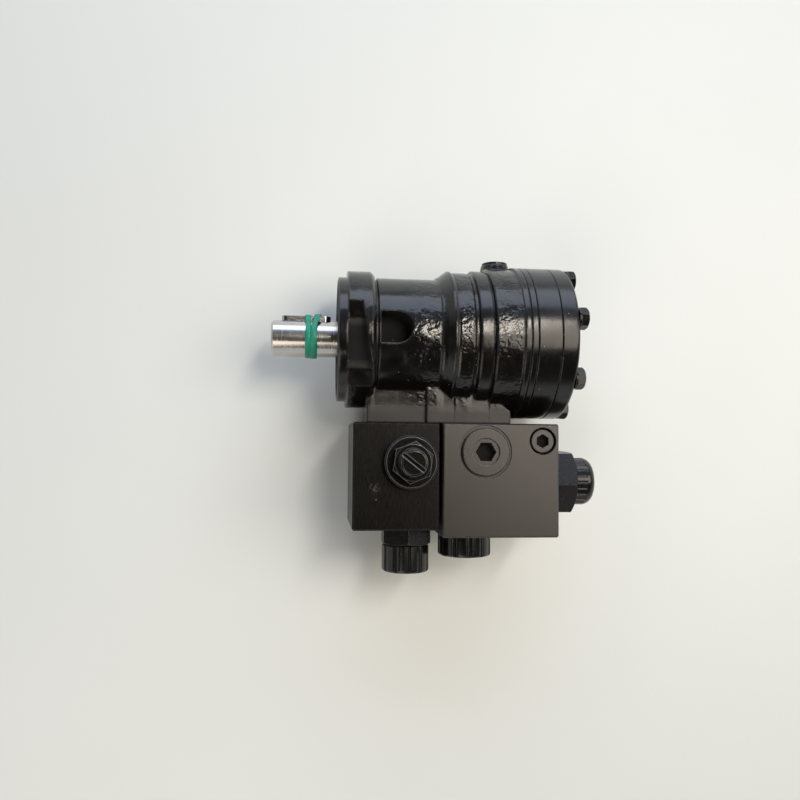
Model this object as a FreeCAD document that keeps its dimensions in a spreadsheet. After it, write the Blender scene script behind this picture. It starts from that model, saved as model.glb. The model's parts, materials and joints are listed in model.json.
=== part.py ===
import FreeCAD, Part
import math
import os
import Sketcher

# Orbital hydraulic motor with two valve blocks, in millimetres and degrees.
# The origin is the centre of the pilot's front face. The shaft points to -X,
# the port face looks to -Y and the valve adjusters point to +Z.

ROLLERS = 7
LOBES = ROLLERS - 1
SPLINE_TEETH = 12
POINTS_AT_VALLEYS = 0.8
BEARING_NEEDLES = 18
MOUNT_HOLES = 4
OPEN_SCOOPS = 3
CAP_FLUTES = 12
KNOB_RIBS = 24

SIZES = (
    # output shaft and its key
    ("shaft_radius", 12.5), ("shaft_reach", 45.0), ("shaft_chamfer", 1.2),
    ("key_width", 8.0), ("key_height", 7.0), ("key_depth", 4.0),
    ("key_start", 4.5), ("key_length", 34.0),
    ("band_start", 13.4), ("band_width", 9.0), ("band_thickness", 1.1),
    # spool on the inner end of the shaft
    ("bore_radius", 20.0), ("running_gap", 0.05), ("axial_play", 0.05),
    ("spool_groove_depth", 3.0), ("spool_groove_width", 9.0),
    ("spool_slot_width", 3.0), ("spool_slot_depth", 2.0),
    ("spool_hollow_radius", 15.4), ("spline_root", 15.0), ("spline_tip", 12.6),
    ("spline_length", 15.0), ("spline_space", 5.2), ("spool_tail_gap", 0.6),
    # front seals and axial needle bearing
    ("wiper_radius", 17.0), ("wiper_depth", 5.0), ("wiper_length", 4.0),
    ("lip_gap", 0.6), ("seal_seat", 10.0), ("seal_length", 7.0),
    ("race_thickness", 1.2), ("race_inner", 14.0), ("needle_radius", 1.2),
    ("needle_length", 4.2), ("cage_thickness", 1.4),
    # housing casting, front to rear
    ("pilot_radius", 43.2), ("pilot_length", 6.2), ("edge_chamfer", 0.6),
    ("flange_radius", 47.5), ("flange_thickness", 18.1), ("flange_rounding", 2.4),
    ("recess_floor", 38.4), ("recess_turn", -10.5), ("recess_upper", 9.6),
    ("recess_middle", 13.4), ("recess_lower", 18.0), ("neck_depth", 1.6), ("neck_width", 2.2),
    ("barrel_radius", 43.3), ("barrel_length", 44.2), ("shoulder_length", 7.2),
    ("shoulder_rise", 6.3), ("shoulder_lip", 1.6), ("band_one_length", 12.4),
    ("band_one_rise", 5.3), ("valley_width", 3.4), ("valley_depth", 1.4),
    ("band_two_length", 8.4), ("band_two_rise", 6.9), ("hairline_width", 1.6),
    ("hairline_depth", 1.2), ("band_three_length", 18.3), ("band_three_rise", 8.7),
    ("rear_ridge", 4.6), ("mount_circle_radius", 34.0), ("mount_hole_radius", 4.25),
    ("scoop_turn", 5.0), ("scoop_half_width", 10.4), ("scoop_offset", 3.2),
    ("scoop_length", 21.0), ("scoop_floor", 26.5),
    ("drain_inset", 13.0), ("drain_foot_radius", 12.2), ("drain_top_radius", 9.6),
    ("drain_height", 3.4), ("drain_bore_radius", 6.5), ("drain_bore_depth", 16.0),
    # port boss
    ("port_stand_off", 4.6), ("port_web_front", 29.4), ("port_web_half", 23.6),
    ("boss_front", 10.4), ("boss_rear", 26.1), ("boss_half", 27.0), ("port_boss_root", 26.0),
    ("boss_slope_start", 1.0), ("boss_slope_top", 31.0), ("boss_slope_foot", 49.5),
    ("port_a_x", 49.4), ("port_pitch", 41.5), ("port_radius", 6.5),
    ("port_seal_radius", 9.4), ("port_seal_width", 2.4), ("port_seal_depth", 1.6),
    # rotor set
    ("roller_circle", 31.0), ("roller_radius", 7.0), ("eccentricity", 3.3),
    ("rotor_gap", 0.08), ("pocket_gap", 0.06), ("ring_land_gap", 0.4),
    ("ring_width", 16.0), ("plate_thickness", 4.4), ("plate_bore_radius", 15.5),
    ("oil_circle_radius", 26.0), ("oil_hole_radius", 2.6), ("oil_drill_depth", 26.0),
    ("cover_thickness", 12.0), ("cover_rounding", 2.6),
    ("face_seal_offset", 1.9), ("face_seal_width", 1.7), ("face_seal_depth", 1.2),
    # drive link between rotor and spool
    ("link_entry", 52.9), ("link_head_length", 10.0),
    ("link_root", 12.0), ("link_tip", 14.3), ("link_tooth", 3.0),
    ("link_shank_radius", 8.6), ("link_neck_radius", 7.4),
    ("link_spacer_radius", 12.2), ("link_spacer_gap", 0.9),
    # cover screws
    ("screw_offset", 6.1), ("screw_rim", 7.5), ("screw_turn", 23.5), ("screw_radius", 4.0),
    ("screw_hole_gap", 0.3), ("screw_grip", 20.0), ("screw_head_flats", 13.0),
    ("screw_head_height", 5.3), ("washer_radius", 7.3), ("washer_thickness", 1.5),
    # valve blocks
    ("block_half_height", 36.0), ("block_chamfer", 1.0),
    ("left_block_front", 39.0), ("left_block_rear", 18.1), ("left_block_depth", 70.5),
    ("block_gap", 2.0), ("right_block_rear", 57.0), ("right_block_depth", 75.3),
    ("block_screw_radius", 4.0), ("block_screw_head", 6.5), ("block_screw_head_height", 8.0),
    ("block_screw_sink", 9.0), ("block_screw_grip", 14.0), ("block_screw_level", 17.0),
    ("block_screw_edge", 9.4), ("left_screw_side", 21.4), ("right_screw_pitch", 31.0),
    # relief valve on the left block
    ("relief_offset", 1.4), ("relief_inset", 25.9), ("relief_bore_radius", 12.6),
    ("relief_floor", 10.0), ("relief_shank_gap", 0.1), ("relief_collar_radius", 17.5),
    ("relief_collar_height", 7.0), ("relief_seat_radius", 3.5), ("relief_seat_height", 5.0),
    ("adjuster_radius", 9.0), ("adjuster_length", 21.0), ("adjuster_slot_width", 2.4),
    ("adjuster_slot_depth", 2.6), ("adjuster_rounding", 1.6), ("adjuster_slot_turn", -38.0),
    ("lock_nut_flats", 24.0), ("lock_nut_height", 8.0), ("lock_nut_turn", 22.0),
    ("poppet_radius", 7.0), ("poppet_height", 8.0), ("spring_seat_height", 3.0),
    ("relief_spring_length", 12.0), ("relief_spring_radius", 5.8),
    ("relief_wire_radius", 0.9), ("relief_spring_pitch", 3.0), ("spring_guide_radius", 3.4),
    ("seat_guide_length", 2.0), ("poppet_guide_length", 3.4),
    # check valve under the large plug of the right block
    ("plug_offset", 7.1), ("plug_inset", 19.0), ("spotface_radius", 17.7),
    ("spotface_depth", 0.8),
    ("plug_collar_radius", 16.0), ("plug_collar_height", 3.0), ("plug_shank_radius", 13.5),
    ("plug_shank_length", 12.0), ("plug_socket_flats", 12.0), ("plug_socket_depth", 8.0),
    ("plug_socket_mouth", 9.1), ("plug_seal_width", 2.0), ("plug_seal_height", 1.6),
    ("check_seat_level", 9.5), ("check_seat_radius", 4.5), ("check_ball_radius", 6.0),
    ("check_chamber_radius", 8.0), ("check_spring_radius", 5.2),
    ("check_wire_radius", 0.8), ("check_spring_pitch", 2.6), ("plug_recess_depth", 3.0),
    # socket screw beside the plug
    ("cap_screw_side", 11.0), ("cap_screw_inset", 11.5), ("cap_screw_radius", 5.0),
    ("cap_screw_head", 8.0), ("cap_screw_head_height", 10.0), ("cap_screw_sink", 10.6),
    ("cap_screw_sink_radius", 9.1), ("cap_screw_length", 30.0),
    ("cap_screw_socket", 8.0), ("cap_screw_socket_depth", 5.0),
    # cartridge and knob on the end of the right block
    ("side_inset", 39.6), ("side_flats", 41.0), ("side_hex_length", 19.0), ("side_turn", 4.0),
    ("side_shank_radius", 15.0), ("side_shank_length", 24.0), ("side_stub_radius", 10.0),
    ("side_stub_length", 9.0), ("knob_radius", 16.6), ("knob_length", 14.6),
    ("knob_rounding", 6.5), ("knob_gap", 0.3), ("knob_rib_depth", 0.7),
    # fittings and their caps
    ("fitting_flats", 32.0), ("fitting_hex_length", 13.0), ("fitting_radius", 10.5),
    ("fitting_grip", 14.0), ("fitting_reach", 15.0), ("fitting_bore", 6.0),
    ("left_cap_radius", 16.3), ("left_cap_length", 18.0), ("cap_gap", 0.08),
    ("cap_end_wall", 2.4), ("cap_rounding", 2.0), ("cap_flute_radius", 3.4),
    ("cap_flute_depth", 0.9), ("right_cap_radius", 18.4), ("right_cap_length", 15.6),
    ("right_stub_radius", 13.0), ("right_stub_reach", 13.0), ("cap_stand_off", 0.4),
    ("fitting_seal_width", 2.0), ("fitting_seal_height", 1.6), ("cut_over", 1.0),
)

doc = FreeCAD.newDocument("hydraulic_motor")
sheet = doc.addObject("Spreadsheet::Sheet", "sizes")


class Size:
    """A length or angle with its value and the sheet formula behind it."""

    def __init__(self, value, formula):
        self.value = value
        self.formula = formula

    def _join(self, sign, other, value):
        text = other.formula if isinstance(other, Size) else repr(float(other))
        return Size(value, "(%s %s %s)" % (self.formula, sign, text))

    def __add__(self, other):
        return self._join("+", other, self.value + number(other))

    def __sub__(self, other):
        return self._join("-", other, self.value - number(other))

    def __mul__(self, other):
        return self._join("*", other, self.value * number(other))

    def __truediv__(self, other):
        return self._join("/", other, self.value / number(other))

    def __neg__(self):
        return self * -1


def number(value):
    return value.value if isinstance(value, Size) else float(value)


def cosine(angle):
    return Size(math.cos(math.radians(angle.value)), "cos(%s)" % angle.formula)


def sine(angle):
    return Size(math.sin(math.radians(angle.value)), "sin(%s)" % angle.formula)


def arcsine(ratio):
    return Size(math.degrees(math.asin(ratio.value)), "asin(%s)" % ratio.formula)


class Sheet:
    """Gives each driving size by its alias."""


s = Sheet()
for row, (alias, amount) in enumerate(SIZES, start=1):
    cell = "B%d" % row
    sheet.set("A%d" % row, alias.replace("_", " "))
    sheet.set(cell, str(amount))
    sheet.setAlias(cell, alias)
doc.recompute()
for alias, amount in SIZES:
    setattr(s, alias, Size(float(getattr(sheet, alias)), "sizes.%s" % alias))

# Radii that follow from the rotor set outwards
s.face_seal_radius = s.roller_circle + s.roller_radius + s.face_seal_offset
s.screw_circle_radius = s.face_seal_radius + s.screw_offset
s.section_radius = s.screw_circle_radius + s.screw_rim
s.port_face = s.section_radius + s.port_stand_off
s.shoulder_radius = s.barrel_radius + s.shoulder_rise
s.band_one_radius = s.barrel_radius + s.band_one_rise
s.band_two_radius = s.barrel_radius + s.band_two_rise
s.band_three_radius = s.barrel_radius + s.band_three_rise
s.drain_reach = s.barrel_radius + s.band_three_rise + s.drain_height

# Lengths that follow one another from the pilot to the rear face
s.flange_back = s.pilot_length + s.flange_thickness
s.scoop_start = s.flange_back + s.scoop_offset
s.barrel_start = s.flange_back + s.neck_width
s.barrel_end = s.barrel_start + s.barrel_length - s.shoulder_lip
s.shoulder_end = s.barrel_end + s.shoulder_length
s.band_one_end = s.shoulder_end + s.band_one_length
s.band_two_start = s.band_one_end + s.valley_width
s.band_two_end = s.band_two_start + s.band_two_length
s.band_three_start = s.band_two_end + s.hairline_width
s.band_three_end = s.band_three_start + s.band_three_length
s.housing_length = s.band_three_end + s.rear_ridge
s.drain_x = s.housing_length - s.drain_inset

# Places on the valve blocks, counted from the two ports and the port face
s.port_b_x = s.port_a_x + s.port_pitch
s.left_block_start = s.port_a_x - s.left_block_front
s.left_block_end = s.port_a_x + s.left_block_rear
s.right_block_start = s.left_block_end + s.block_gap
s.right_block_end = s.port_b_x + s.right_block_rear
s.relief_x = s.port_a_x - s.relief_offset
s.relief_y = s.port_face + s.relief_inset
s.plug_x = s.port_b_x + s.plug_offset
s.plug_y = s.port_face + s.plug_inset
s.cap_screw_x = s.right_block_end - s.cap_screw_side
s.cap_screw_y = s.port_face + s.cap_screw_inset
s.side_y = s.port_face + s.side_inset

parts = {}


def bind(target, name, size):
    if isinstance(size, Size):
        target.setExpression(name, size.formula)


def new_body(label, place=(), turn=None, axis=(0, 0, 1)):
    """A body that is placed by sizes and, where it leans, turned about one axis."""
    body = doc.addObject("PartDesign::Body", label)
    body.Label = label
    if turn is not None:
        direction = FreeCAD.Vector(*axis)
        body.Placement = FreeCAD.Placement(
            FreeCAD.Vector(), FreeCAD.Rotation(direction, number(turn)))
        bind(body, "Placement.Rotation.Angle", turn)
    for letter, size in zip("xyz", place):
        bind(body, "Placement.Base." + letter, size)
    parts[label] = body
    return body


def origin_item(body, role):
    return [item for item in body.Origin.OriginFeatures if item.Role == role][0]


def new_sketch(body, role, name, level=None):
    """A sketch on an origin plane, or on one parallel to it at a level."""
    sketch = body.newObject("Sketcher::SketchObject", name)
    sketch.AttachmentSupport = [(origin_item(body, role), "")]
    sketch.MapMode = "FlatFace"
    if level is not None:
        sketch.AttachmentOffset.Base.z = number(level)
        bind(sketch, "AttachmentOffset.Base.z", level)
    return sketch


def radial_sketch(body, name, height, turn):
    """A sketch that faces outwards at a height, turned about the shaft axis."""
    sketch = new_sketch(body, "XY_Plane", name)
    sketch.AttachmentOffset = FreeCAD.Placement(
        FreeCAD.Vector(), FreeCAD.Rotation(FreeCAD.Vector(1, 0, 0), -number(turn)))
    bind(sketch, "AttachmentOffset.Rotation.Angle", -turn)
    bind(sketch, "AttachmentOffset.Base.y", height * sine(turn))
    bind(sketch, "AttachmentOffset.Base.z", height * cosine(turn))
    return sketch


def pin_point(rules, formulas, geometry, point, place):
    for kind, size in zip(("DistanceX", "DistanceY"), place):
        rules.append(Sketcher.Constraint(kind, -1, 1, geometry, point, number(size)))
        formulas.append(size)


def apply_rules(sketch, rules, formulas):
    for index, size in zip(sketch.addConstraint(rules), formulas):
        bind(sketch, "Constraints[%d]" % index, size)


def outline(sketch, points):
    """A closed outline of straight lines whose corners are set by sizes."""
    corners = [FreeCAD.Vector(number(x), number(y), 0) for x, y in points]
    first = sketch.GeometryCount
    count = len(points)
    sketch.addGeometry(
        [Part.LineSegment(corners[i], corners[(i + 1) % count]) for i in range(count)])
    rules, formulas = [], []
    for i, place in enumerate(points):
        pin_point(rules, formulas, first + i, 1, place)
    for i in range(count):
        rules.append(Sketcher.Constraint("Coincident", first + i, 2, first + (i + 1) % count, 1))
        formulas.append(None)
    apply_rules(sketch, rules, formulas)
    return sketch


def circles(sketch, centres, radius):
    for centre in centres:
        geometry = sketch.addGeometry(Part.Circle(
            FreeCAD.Vector(number(centre[0]), number(centre[1]), 0),
            FreeCAD.Vector(0, 0, 1), number(radius)))
        rules = [Sketcher.Constraint("Radius", geometry, number(radius))]
        formulas = [radius]
        pin_point(rules, formulas, geometry, 3, centre)
        apply_rules(sketch, rules, formulas)
    return sketch


def hexagon(sketch, flats, turn=0.0, centre=(0.0, 0.0)):
    """A regular hexagon by its width across flats, with a corner at the turn."""
    points = []
    for corner in range(6):
        angle = math.radians(turn + 60 * corner)
        points.append((flats * (math.cos(angle) / math.sqrt(3)) + centre[0],
                       flats * (math.sin(angle) / math.sqrt(3)) + centre[1]))
    return outline(sketch, points)


def grow(body, kind, name, sketch, length=None, backwards=False):
    """A pad or a pocket of a sketch."""
    feature = body.newObject("PartDesign::" + kind, name)
    feature.Profile = sketch
    if length is None:
        feature.Type = 1
    else:
        feature.Length = number(length)
        bind(feature, "Length", length)
    feature.Reversed = backwards
    body.Tip = feature
    return feature


def pad(body, name, sketch, length, backwards=False):
    return grow(body, "Pad", name, sketch, length, backwards)


def pocket(body, name, sketch, length=None, backwards=False):
    return grow(body, "Pocket", name, sketch, length, backwards)


def turn_round(body, name, points, about="H_Axis", role="XY_Plane", cut=False):
    """A solid of revolution, or a groove, about one axis of its own sketch."""
    sketch = outline(new_sketch(body, role, name + "_outline"), points)
    kind = "PartDesign::Groove" if cut else "PartDesign::Revolution"
    feature = body.newObject(kind, name)
    feature.Profile = sketch
    feature.ReferenceAxis = (sketch, [about])
    feature.Angle = 360
    body.Tip = feature
    return feature


def repeat(body, name, originals, count, role="X_Axis", angle=360.0):
    """Copies of features round an axis of the body; a negative angle goes backwards."""
    pattern = body.newObject("PartDesign::PolarPattern", name)
    pattern.Originals = originals
    pattern.Axis = (origin_item(body, role), [""])
    pattern.Reversed = angle < 0
    pattern.Angle = abs(angle)
    pattern.Occurrences = count
    body.Tip = pattern
    return pattern


def soften(body, kind, name, size, wanted):
    """A fillet or chamfer on the edges of the present shape that are wanted."""
    doc.recompute()
    base = body.Tip
    names = ["Edge%d" % (i + 1) for i, edge in enumerate(base.Shape.Edges) if wanted(edge)]
    feature = body.newObject("PartDesign::" + kind, name)
    feature.Base = (base, names)
    prop = "Radius" if kind == "Fillet" else "Size"
    setattr(feature, prop, number(size))
    bind(feature, prop, size)
    body.Tip = feature
    return feature


def is_circle(edge, radius, along, level):
    """True for a round edge of a radius whose centre lies at a level on an axis."""
    curve = edge.Curve
    if not isinstance(curve, Part.Circle) or abs(curve.Radius - number(radius)) > 0.01:
        return False
    return abs(getattr(curve.Center, along) - number(level)) < 0.01


def solid_node(label, shape):
    """A sub-part whose shape is worked out here from the sheet's values."""
    node = doc.addObject("Part::Feature", label)
    node.Label = label
    node.Shape = shape
    parts[label] = node
    return node


def value(alias):
    return number(getattr(s, alias))


def washer_shape(inner, outer, base, direction, height):
    ring = Part.makeCylinder(outer, height, base, direction)
    return ring.cut(Part.makeCylinder(inner, height, base, direction))


# Positions along the shaft that follow from the driving sizes
plate_end = s.housing_length + s.plate_thickness
ring_end = plate_end + s.ring_width
cover_end = ring_end + s.cover_thickness
bearing_start = s.seal_seat + s.seal_length
bearing_play = s.needle_radius * 2 + s.axial_play * 2
rear_race_start = bearing_start + s.race_thickness + bearing_play
spool_start = rear_race_start + s.race_thickness
spool_end = s.housing_length - s.spool_tail_gap
spool_radius = s.bore_radius - s.running_gap
s.link_front = spool_end - s.link_entry
s.link_rear = plate_end + s.ring_width / 2
spline_start = s.link_front - s.spline_length / 2
spline_end = s.link_front + s.spline_length / 2


# Housing casting
housing = new_body("housing")
lip = s.shoulder_lip
turn_round(housing, "casting", [
    (0, 0), (0, s.pilot_radius - s.edge_chamfer), (s.edge_chamfer, s.pilot_radius),
    (s.pilot_length, s.pilot_radius), (s.pilot_length, s.flange_radius - s.edge_chamfer),
    (s.pilot_length + s.edge_chamfer, s.flange_radius),
    (s.flange_back - s.flange_rounding, s.flange_radius),
    (s.flange_back, s.flange_radius - s.flange_rounding),
    (s.flange_back, s.barrel_radius - s.neck_depth),
    (s.barrel_start - s.edge_chamfer, s.barrel_radius - s.neck_depth),
    (s.barrel_start, s.barrel_radius), (s.barrel_end - lip, s.barrel_radius),
    (s.barrel_end - lip * 0.6, s.barrel_radius + lip * 0.8),
    (s.barrel_end, s.barrel_radius + lip),
    (s.shoulder_end - lip, s.shoulder_radius - s.edge_chamfer),
    (s.shoulder_end - lip * 0.5, s.shoulder_radius), (s.shoulder_end, s.shoulder_radius),
    (s.shoulder_end + lip, s.band_one_radius), (s.band_one_end, s.band_one_radius),
    (s.band_one_end + s.edge_chamfer, s.band_one_radius - s.valley_depth),
    (s.band_two_start - s.edge_chamfer, s.band_one_radius - s.valley_depth),
    (s.band_two_start, s.band_two_radius - s.edge_chamfer),
    (s.band_two_start + s.edge_chamfer, s.band_two_radius),
    (s.band_two_end, s.band_two_radius),
    (s.band_two_end + s.edge_chamfer / 2, s.band_two_radius - s.hairline_depth),
    (s.band_three_start - s.edge_chamfer, s.band_two_radius - s.hairline_depth),
    (s.band_three_start, s.band_three_radius - s.edge_chamfer),
    (s.band_three_start + s.edge_chamfer, s.band_three_radius),
    (s.band_three_end, s.band_three_radius),
    (s.band_three_end + s.edge_chamfer, s.section_radius),
    (s.housing_length - s.edge_chamfer, s.section_radius),
    (s.housing_length, s.section_radius - s.edge_chamfer), (s.housing_length, 0),
])

# Cast recesses in the flange's rim, one above and its opposite below
rim = s.flange_radius * 1.05
for name, turn in (("upper_recess", s.recess_turn), ("lower_recess", s.recess_turn + 180)):
    recess = outline(radial_sketch(housing, name + "_outline", rim, turn), [
        (s.pilot_length, s.flange_radius), (s.pilot_length + s.recess_upper, s.flange_radius),
        (s.pilot_length + s.recess_upper, s.flange_radius * 0.55),
        (s.pilot_length + s.recess_middle, 0),
        (s.pilot_length + s.recess_lower, -s.flange_radius * 0.5),
        (s.pilot_length + s.recess_lower, -s.flange_radius), (s.pilot_length, -s.flange_radius)])
    pocket(housing, name, recess, rim - s.recess_floor)

# Port boss with its sloping rear corner, and the lower web in front of it
boss_front = s.port_b_x - s.port_pitch + s.boss_front
boss_rear = s.port_b_x + s.boss_rear
boss = outline(new_sketch(housing, "XY_Plane", "port_boss_outline", -s.boss_half), [
    (boss_front, -s.port_boss_root), (boss_front, -s.port_face), (boss_rear, -s.port_face),
    (boss_rear, -s.boss_slope_foot), (s.port_b_x + s.boss_slope_start, -s.boss_slope_top),
    (s.port_b_x + s.boss_slope_start, -s.port_boss_root)])
pad(housing, "port_boss", boss, s.boss_half * 2)
web = outline(new_sketch(housing, "XZ_Plane", "port_web_outline", s.port_face), [
    (s.port_a_x - s.port_web_front, -s.port_web_half), (boss_front, -s.port_web_half),
    (boss_front, s.port_web_half), (s.port_a_x - s.port_web_front, s.port_web_half)])
pad(housing, "port_web", web, s.port_face - s.port_boss_root, backwards=True)

# Drain boss on the far side from the ports
drain = housing.newObject("PartDesign::AdditiveCone", "drain_boss")
drain.AttachmentSupport = [(origin_item(housing, "XZ_Plane"), "")]
drain.MapMode = "FlatFace"
drain.AttachmentOffset = FreeCAD.Placement(
    FreeCAD.Vector(), FreeCAD.Rotation(FreeCAD.Vector(1, 0, 0), 180))
bind(drain, "AttachmentOffset.Base.x", s.drain_x)
bind(drain, "AttachmentOffset.Base.z", -(s.barrel_radius))
for prop, size in (("Radius1", s.drain_foot_radius), ("Radius2", s.drain_top_radius),
                   ("Height", s.drain_reach - s.barrel_radius)):
    setattr(drain, prop, number(size))
    bind(drain, prop, size)
housing.Tip = drain
bore = circles(new_sketch(housing, "XZ_Plane", "drain_bore_outline", -s.drain_reach),
               [(s.drain_x, 0)], s.drain_bore_radius)
pocket(housing, "drain_bore", bore, s.drain_bore_depth, backwards=True)

# Bolt scoops behind the flange and the mounting holes that they serve
side = s.scoop_half_width
slot_turn_x = s.scoop_start + s.scoop_length - side
scoop = outline(radial_sketch(housing, "scoop_outline", s.section_radius, s.scoop_turn), [
    (s.scoop_start, -side), (slot_turn_x, -side), (slot_turn_x, side), (s.scoop_start, side)])
straight = pocket(housing, "scoop", scoop, s.section_radius - s.scoop_floor)
scoop_round = circles(
    radial_sketch(housing, "scoop_end_outline", s.section_radius, s.scoop_turn),
    [(slot_turn_x, 0)], side)
rounded = pocket(housing, "scoop_round_end", scoop_round, s.section_radius - s.scoop_floor)
repeat(housing, "scoops", [straight, rounded], OPEN_SCOOPS, angle=-180.0)
holes = circles(new_sketch(housing, "YZ_Plane", "mount_hole_outline", s.scoop_start + s.cut_over),
                [(s.mount_circle_radius * sine(s.scoop_turn),
                  s.mount_circle_radius * cosine(s.scoop_turn))], s.mount_hole_radius)
mount_hole = pocket(housing, "mount_hole", holes, s.scoop_start + s.cut_over * 2)
repeat(housing, "mount_holes", [mount_hole], MOUNT_HOLES)

# Shaft bore with its seal seats and the ring chambers of the two ports
turn_round(housing, "shaft_bore", [
    (0, 0), (0, s.wiper_radius), (s.wiper_depth, s.wiper_radius),
    (s.wiper_depth, s.shaft_radius + s.lip_gap), (s.seal_seat, s.shaft_radius + s.lip_gap),
    (s.seal_seat, s.bore_radius), (s.housing_length, s.bore_radius), (s.housing_length, 0),
], cut=True)
chamber_half = s.spool_groove_width / 2
for name, port_x in (("chamber_a", s.port_a_x), ("chamber_b", s.port_b_x)):
    turn_round(housing, name, [
        (port_x - chamber_half, s.bore_radius - s.cut_over),
        (port_x + chamber_half, s.bore_radius - s.cut_over),
        (port_x + chamber_half, s.bore_radius + s.spool_groove_depth),
        (port_x - chamber_half, s.bore_radius + s.spool_groove_depth)], cut=True)
both_ports = [(s.port_a_x, 0), (s.port_b_x, 0)]
pocket(housing, "port_bores",
       circles(new_sketch(housing, "XZ_Plane", "port_bore_outline", s.port_face),
               both_ports, s.port_radius), s.port_face - s.bore_radius + s.cut_over * 2)
seal_outer = s.port_seal_radius + s.port_seal_width / 2
pocket(housing, "port_seal_seats",
       circles(new_sketch(housing, "XZ_Plane", "port_seal_outline", s.port_face),
               both_ports, seal_outer), s.port_seal_depth)

# Oil passages from the spool to the rotor set
oil_angle = 180.0 / ROLLERS
oil_place = (s.oil_circle_radius * math.cos(math.radians(oil_angle)),
             s.oil_circle_radius * math.sin(math.radians(oil_angle)))
oil = circles(new_sketch(housing, "YZ_Plane", "oil_hole_outline", s.housing_length),
              [oil_place], s.oil_hole_radius)
oil_hole = pocket(housing, "oil_hole", oil, s.oil_drill_depth)
repeat(housing, "oil_holes", [oil_hole], ROLLERS)


def screw_place():
    return (s.screw_circle_radius * cosine(s.screw_turn),
            s.screw_circle_radius * sine(s.screw_turn))


tapped = circles(new_sketch(housing, "YZ_Plane", "tapped_hole_outline", s.housing_length),
                 [screw_place()], s.screw_radius)
tapped_hole = pocket(housing, "tapped_hole", tapped, s.screw_grip)
repeat(housing, "tapped_holes", [tapped_hole], ROLLERS)


def pair_of_screws(x):
    return [(x, s.block_screw_level), (x, -s.block_screw_level)]


left_places = pair_of_screws(s.port_a_x - s.left_screw_side)
right_near = s.right_block_start + s.block_screw_edge
right_places = pair_of_screws(right_near) + [
    (right_near + s.right_screw_pitch, -s.block_screw_level)]
pocket(housing, "block_screw_holes",
       circles(new_sketch(housing, "XZ_Plane", "block_screw_outline", s.port_face),
               left_places + right_places, s.block_screw_radius),
       s.block_screw_grip + s.cut_over)


# Front seals and the fixed race
def ring_on_shaft(label, start, end, inner, outer):
    body = new_body(label)
    turn_round(body, label + "_ring", [(start, inner), (end, inner), (end, outer), (start, outer)])
    return body


seal_inner = s.shaft_radius + s.running_gap
ring_on_shaft("dust_seal", s.wiper_depth - s.wiper_length, s.wiper_depth,
              seal_inner, s.wiper_radius)
ring_on_shaft("shaft_seal", s.seal_seat, bearing_start, seal_inner, s.bore_radius)
ring_on_shaft("thrust_race_front", bearing_start, bearing_start + s.race_thickness,
              s.race_inner, s.bore_radius)
ring_on_shaft("thrust_race_rear", rear_race_start, spool_start, s.shaft_radius, spool_radius)

# Axial needle cage
cage_middle = bearing_start + s.race_thickness + bearing_play / 2
cage_outer = s.bore_radius - s.running_gap * 4
cage = ring_on_shaft("thrust_cage", cage_middle - s.cage_thickness / 2,
                     cage_middle + s.cage_thickness / 2, s.race_inner, cage_outer)
needle_middle = (s.race_inner + cage_outer) / 2
turn_sketch = circles(new_sketch(cage, "XZ_Plane", "needle_outline", -(
    needle_middle + s.needle_length / 2)), [(cage_middle, 0)], s.needle_radius)
needle = pad(cage, "needle", turn_sketch, s.needle_length)
repeat(cage, "needles", [needle], BEARING_NEEDLES)


# Output shaft in one piece with the slotted spool
shaft = new_body("output_shaft")
groove_depth = spool_radius - s.spool_groove_depth
turn_round(shaft, "shaft_turning", [
    (-s.shaft_reach, 0), (-s.shaft_reach, s.shaft_radius - s.shaft_chamfer),
    (-s.shaft_reach + s.shaft_chamfer, s.shaft_radius), (spool_start, s.shaft_radius),
    (spool_start, spool_radius),
    (s.port_a_x - chamber_half, spool_radius), (s.port_a_x - chamber_half, groove_depth),
    (s.port_a_x + chamber_half, groove_depth), (s.port_a_x + chamber_half, spool_radius),
    (s.port_b_x - chamber_half, spool_radius), (s.port_b_x - chamber_half, groove_depth),
    (s.port_b_x + chamber_half, groove_depth), (s.port_b_x + chamber_half, spool_radius),
    (spool_end, spool_radius), (spool_end, s.spool_hollow_radius),
    (spline_end, s.spool_hollow_radius), (spline_end, s.spline_tip),
    (spline_start - s.key_start, s.spline_tip), (spline_start - s.key_start * 2, 0),
])
space_half = s.spline_space / 2
space = outline(new_sketch(shaft, "YZ_Plane", "spline_outline", spline_end), [
    (s.spline_tip - s.cut_over, -space_half), (s.spline_root, -space_half * 0.8),
    (s.spline_root, space_half * 0.8), (s.spline_tip - s.cut_over, space_half)])
spline = pocket(shaft, "spline_space", space, s.spline_length)
repeat(shaft, "spline", [spline], SPLINE_TEETH)
key_middle = -(s.key_start + s.key_length / 2)
key_half = s.key_width / 2
key_floor = s.shaft_radius - s.key_depth
slot_near = -(s.key_start + key_half)
slot_far = -(s.key_start + s.key_length - key_half)
keyway = outline(new_sketch(shaft, "XZ_Plane", "keyway_outline", -s.shaft_radius), [
    (slot_far, -key_half), (slot_near, -key_half), (slot_near, key_half), (slot_far, key_half)])
pocket(shaft, "keyway", keyway, s.key_depth, backwards=True)
keyway_ends = circles(new_sketch(shaft, "XZ_Plane", "keyway_end_outline", -s.shaft_radius),
                      [(slot_near, 0)], key_half)
pocket(shaft, "keyway_near_end", keyway_ends, s.key_depth, backwards=True)
keyway_ends = circles(new_sketch(shaft, "XZ_Plane", "keyway_far_outline", -s.shaft_radius),
                      [(slot_far, 0)], key_half)
pocket(shaft, "keyway_far_end", keyway_ends, s.key_depth, backwards=True)
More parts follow.
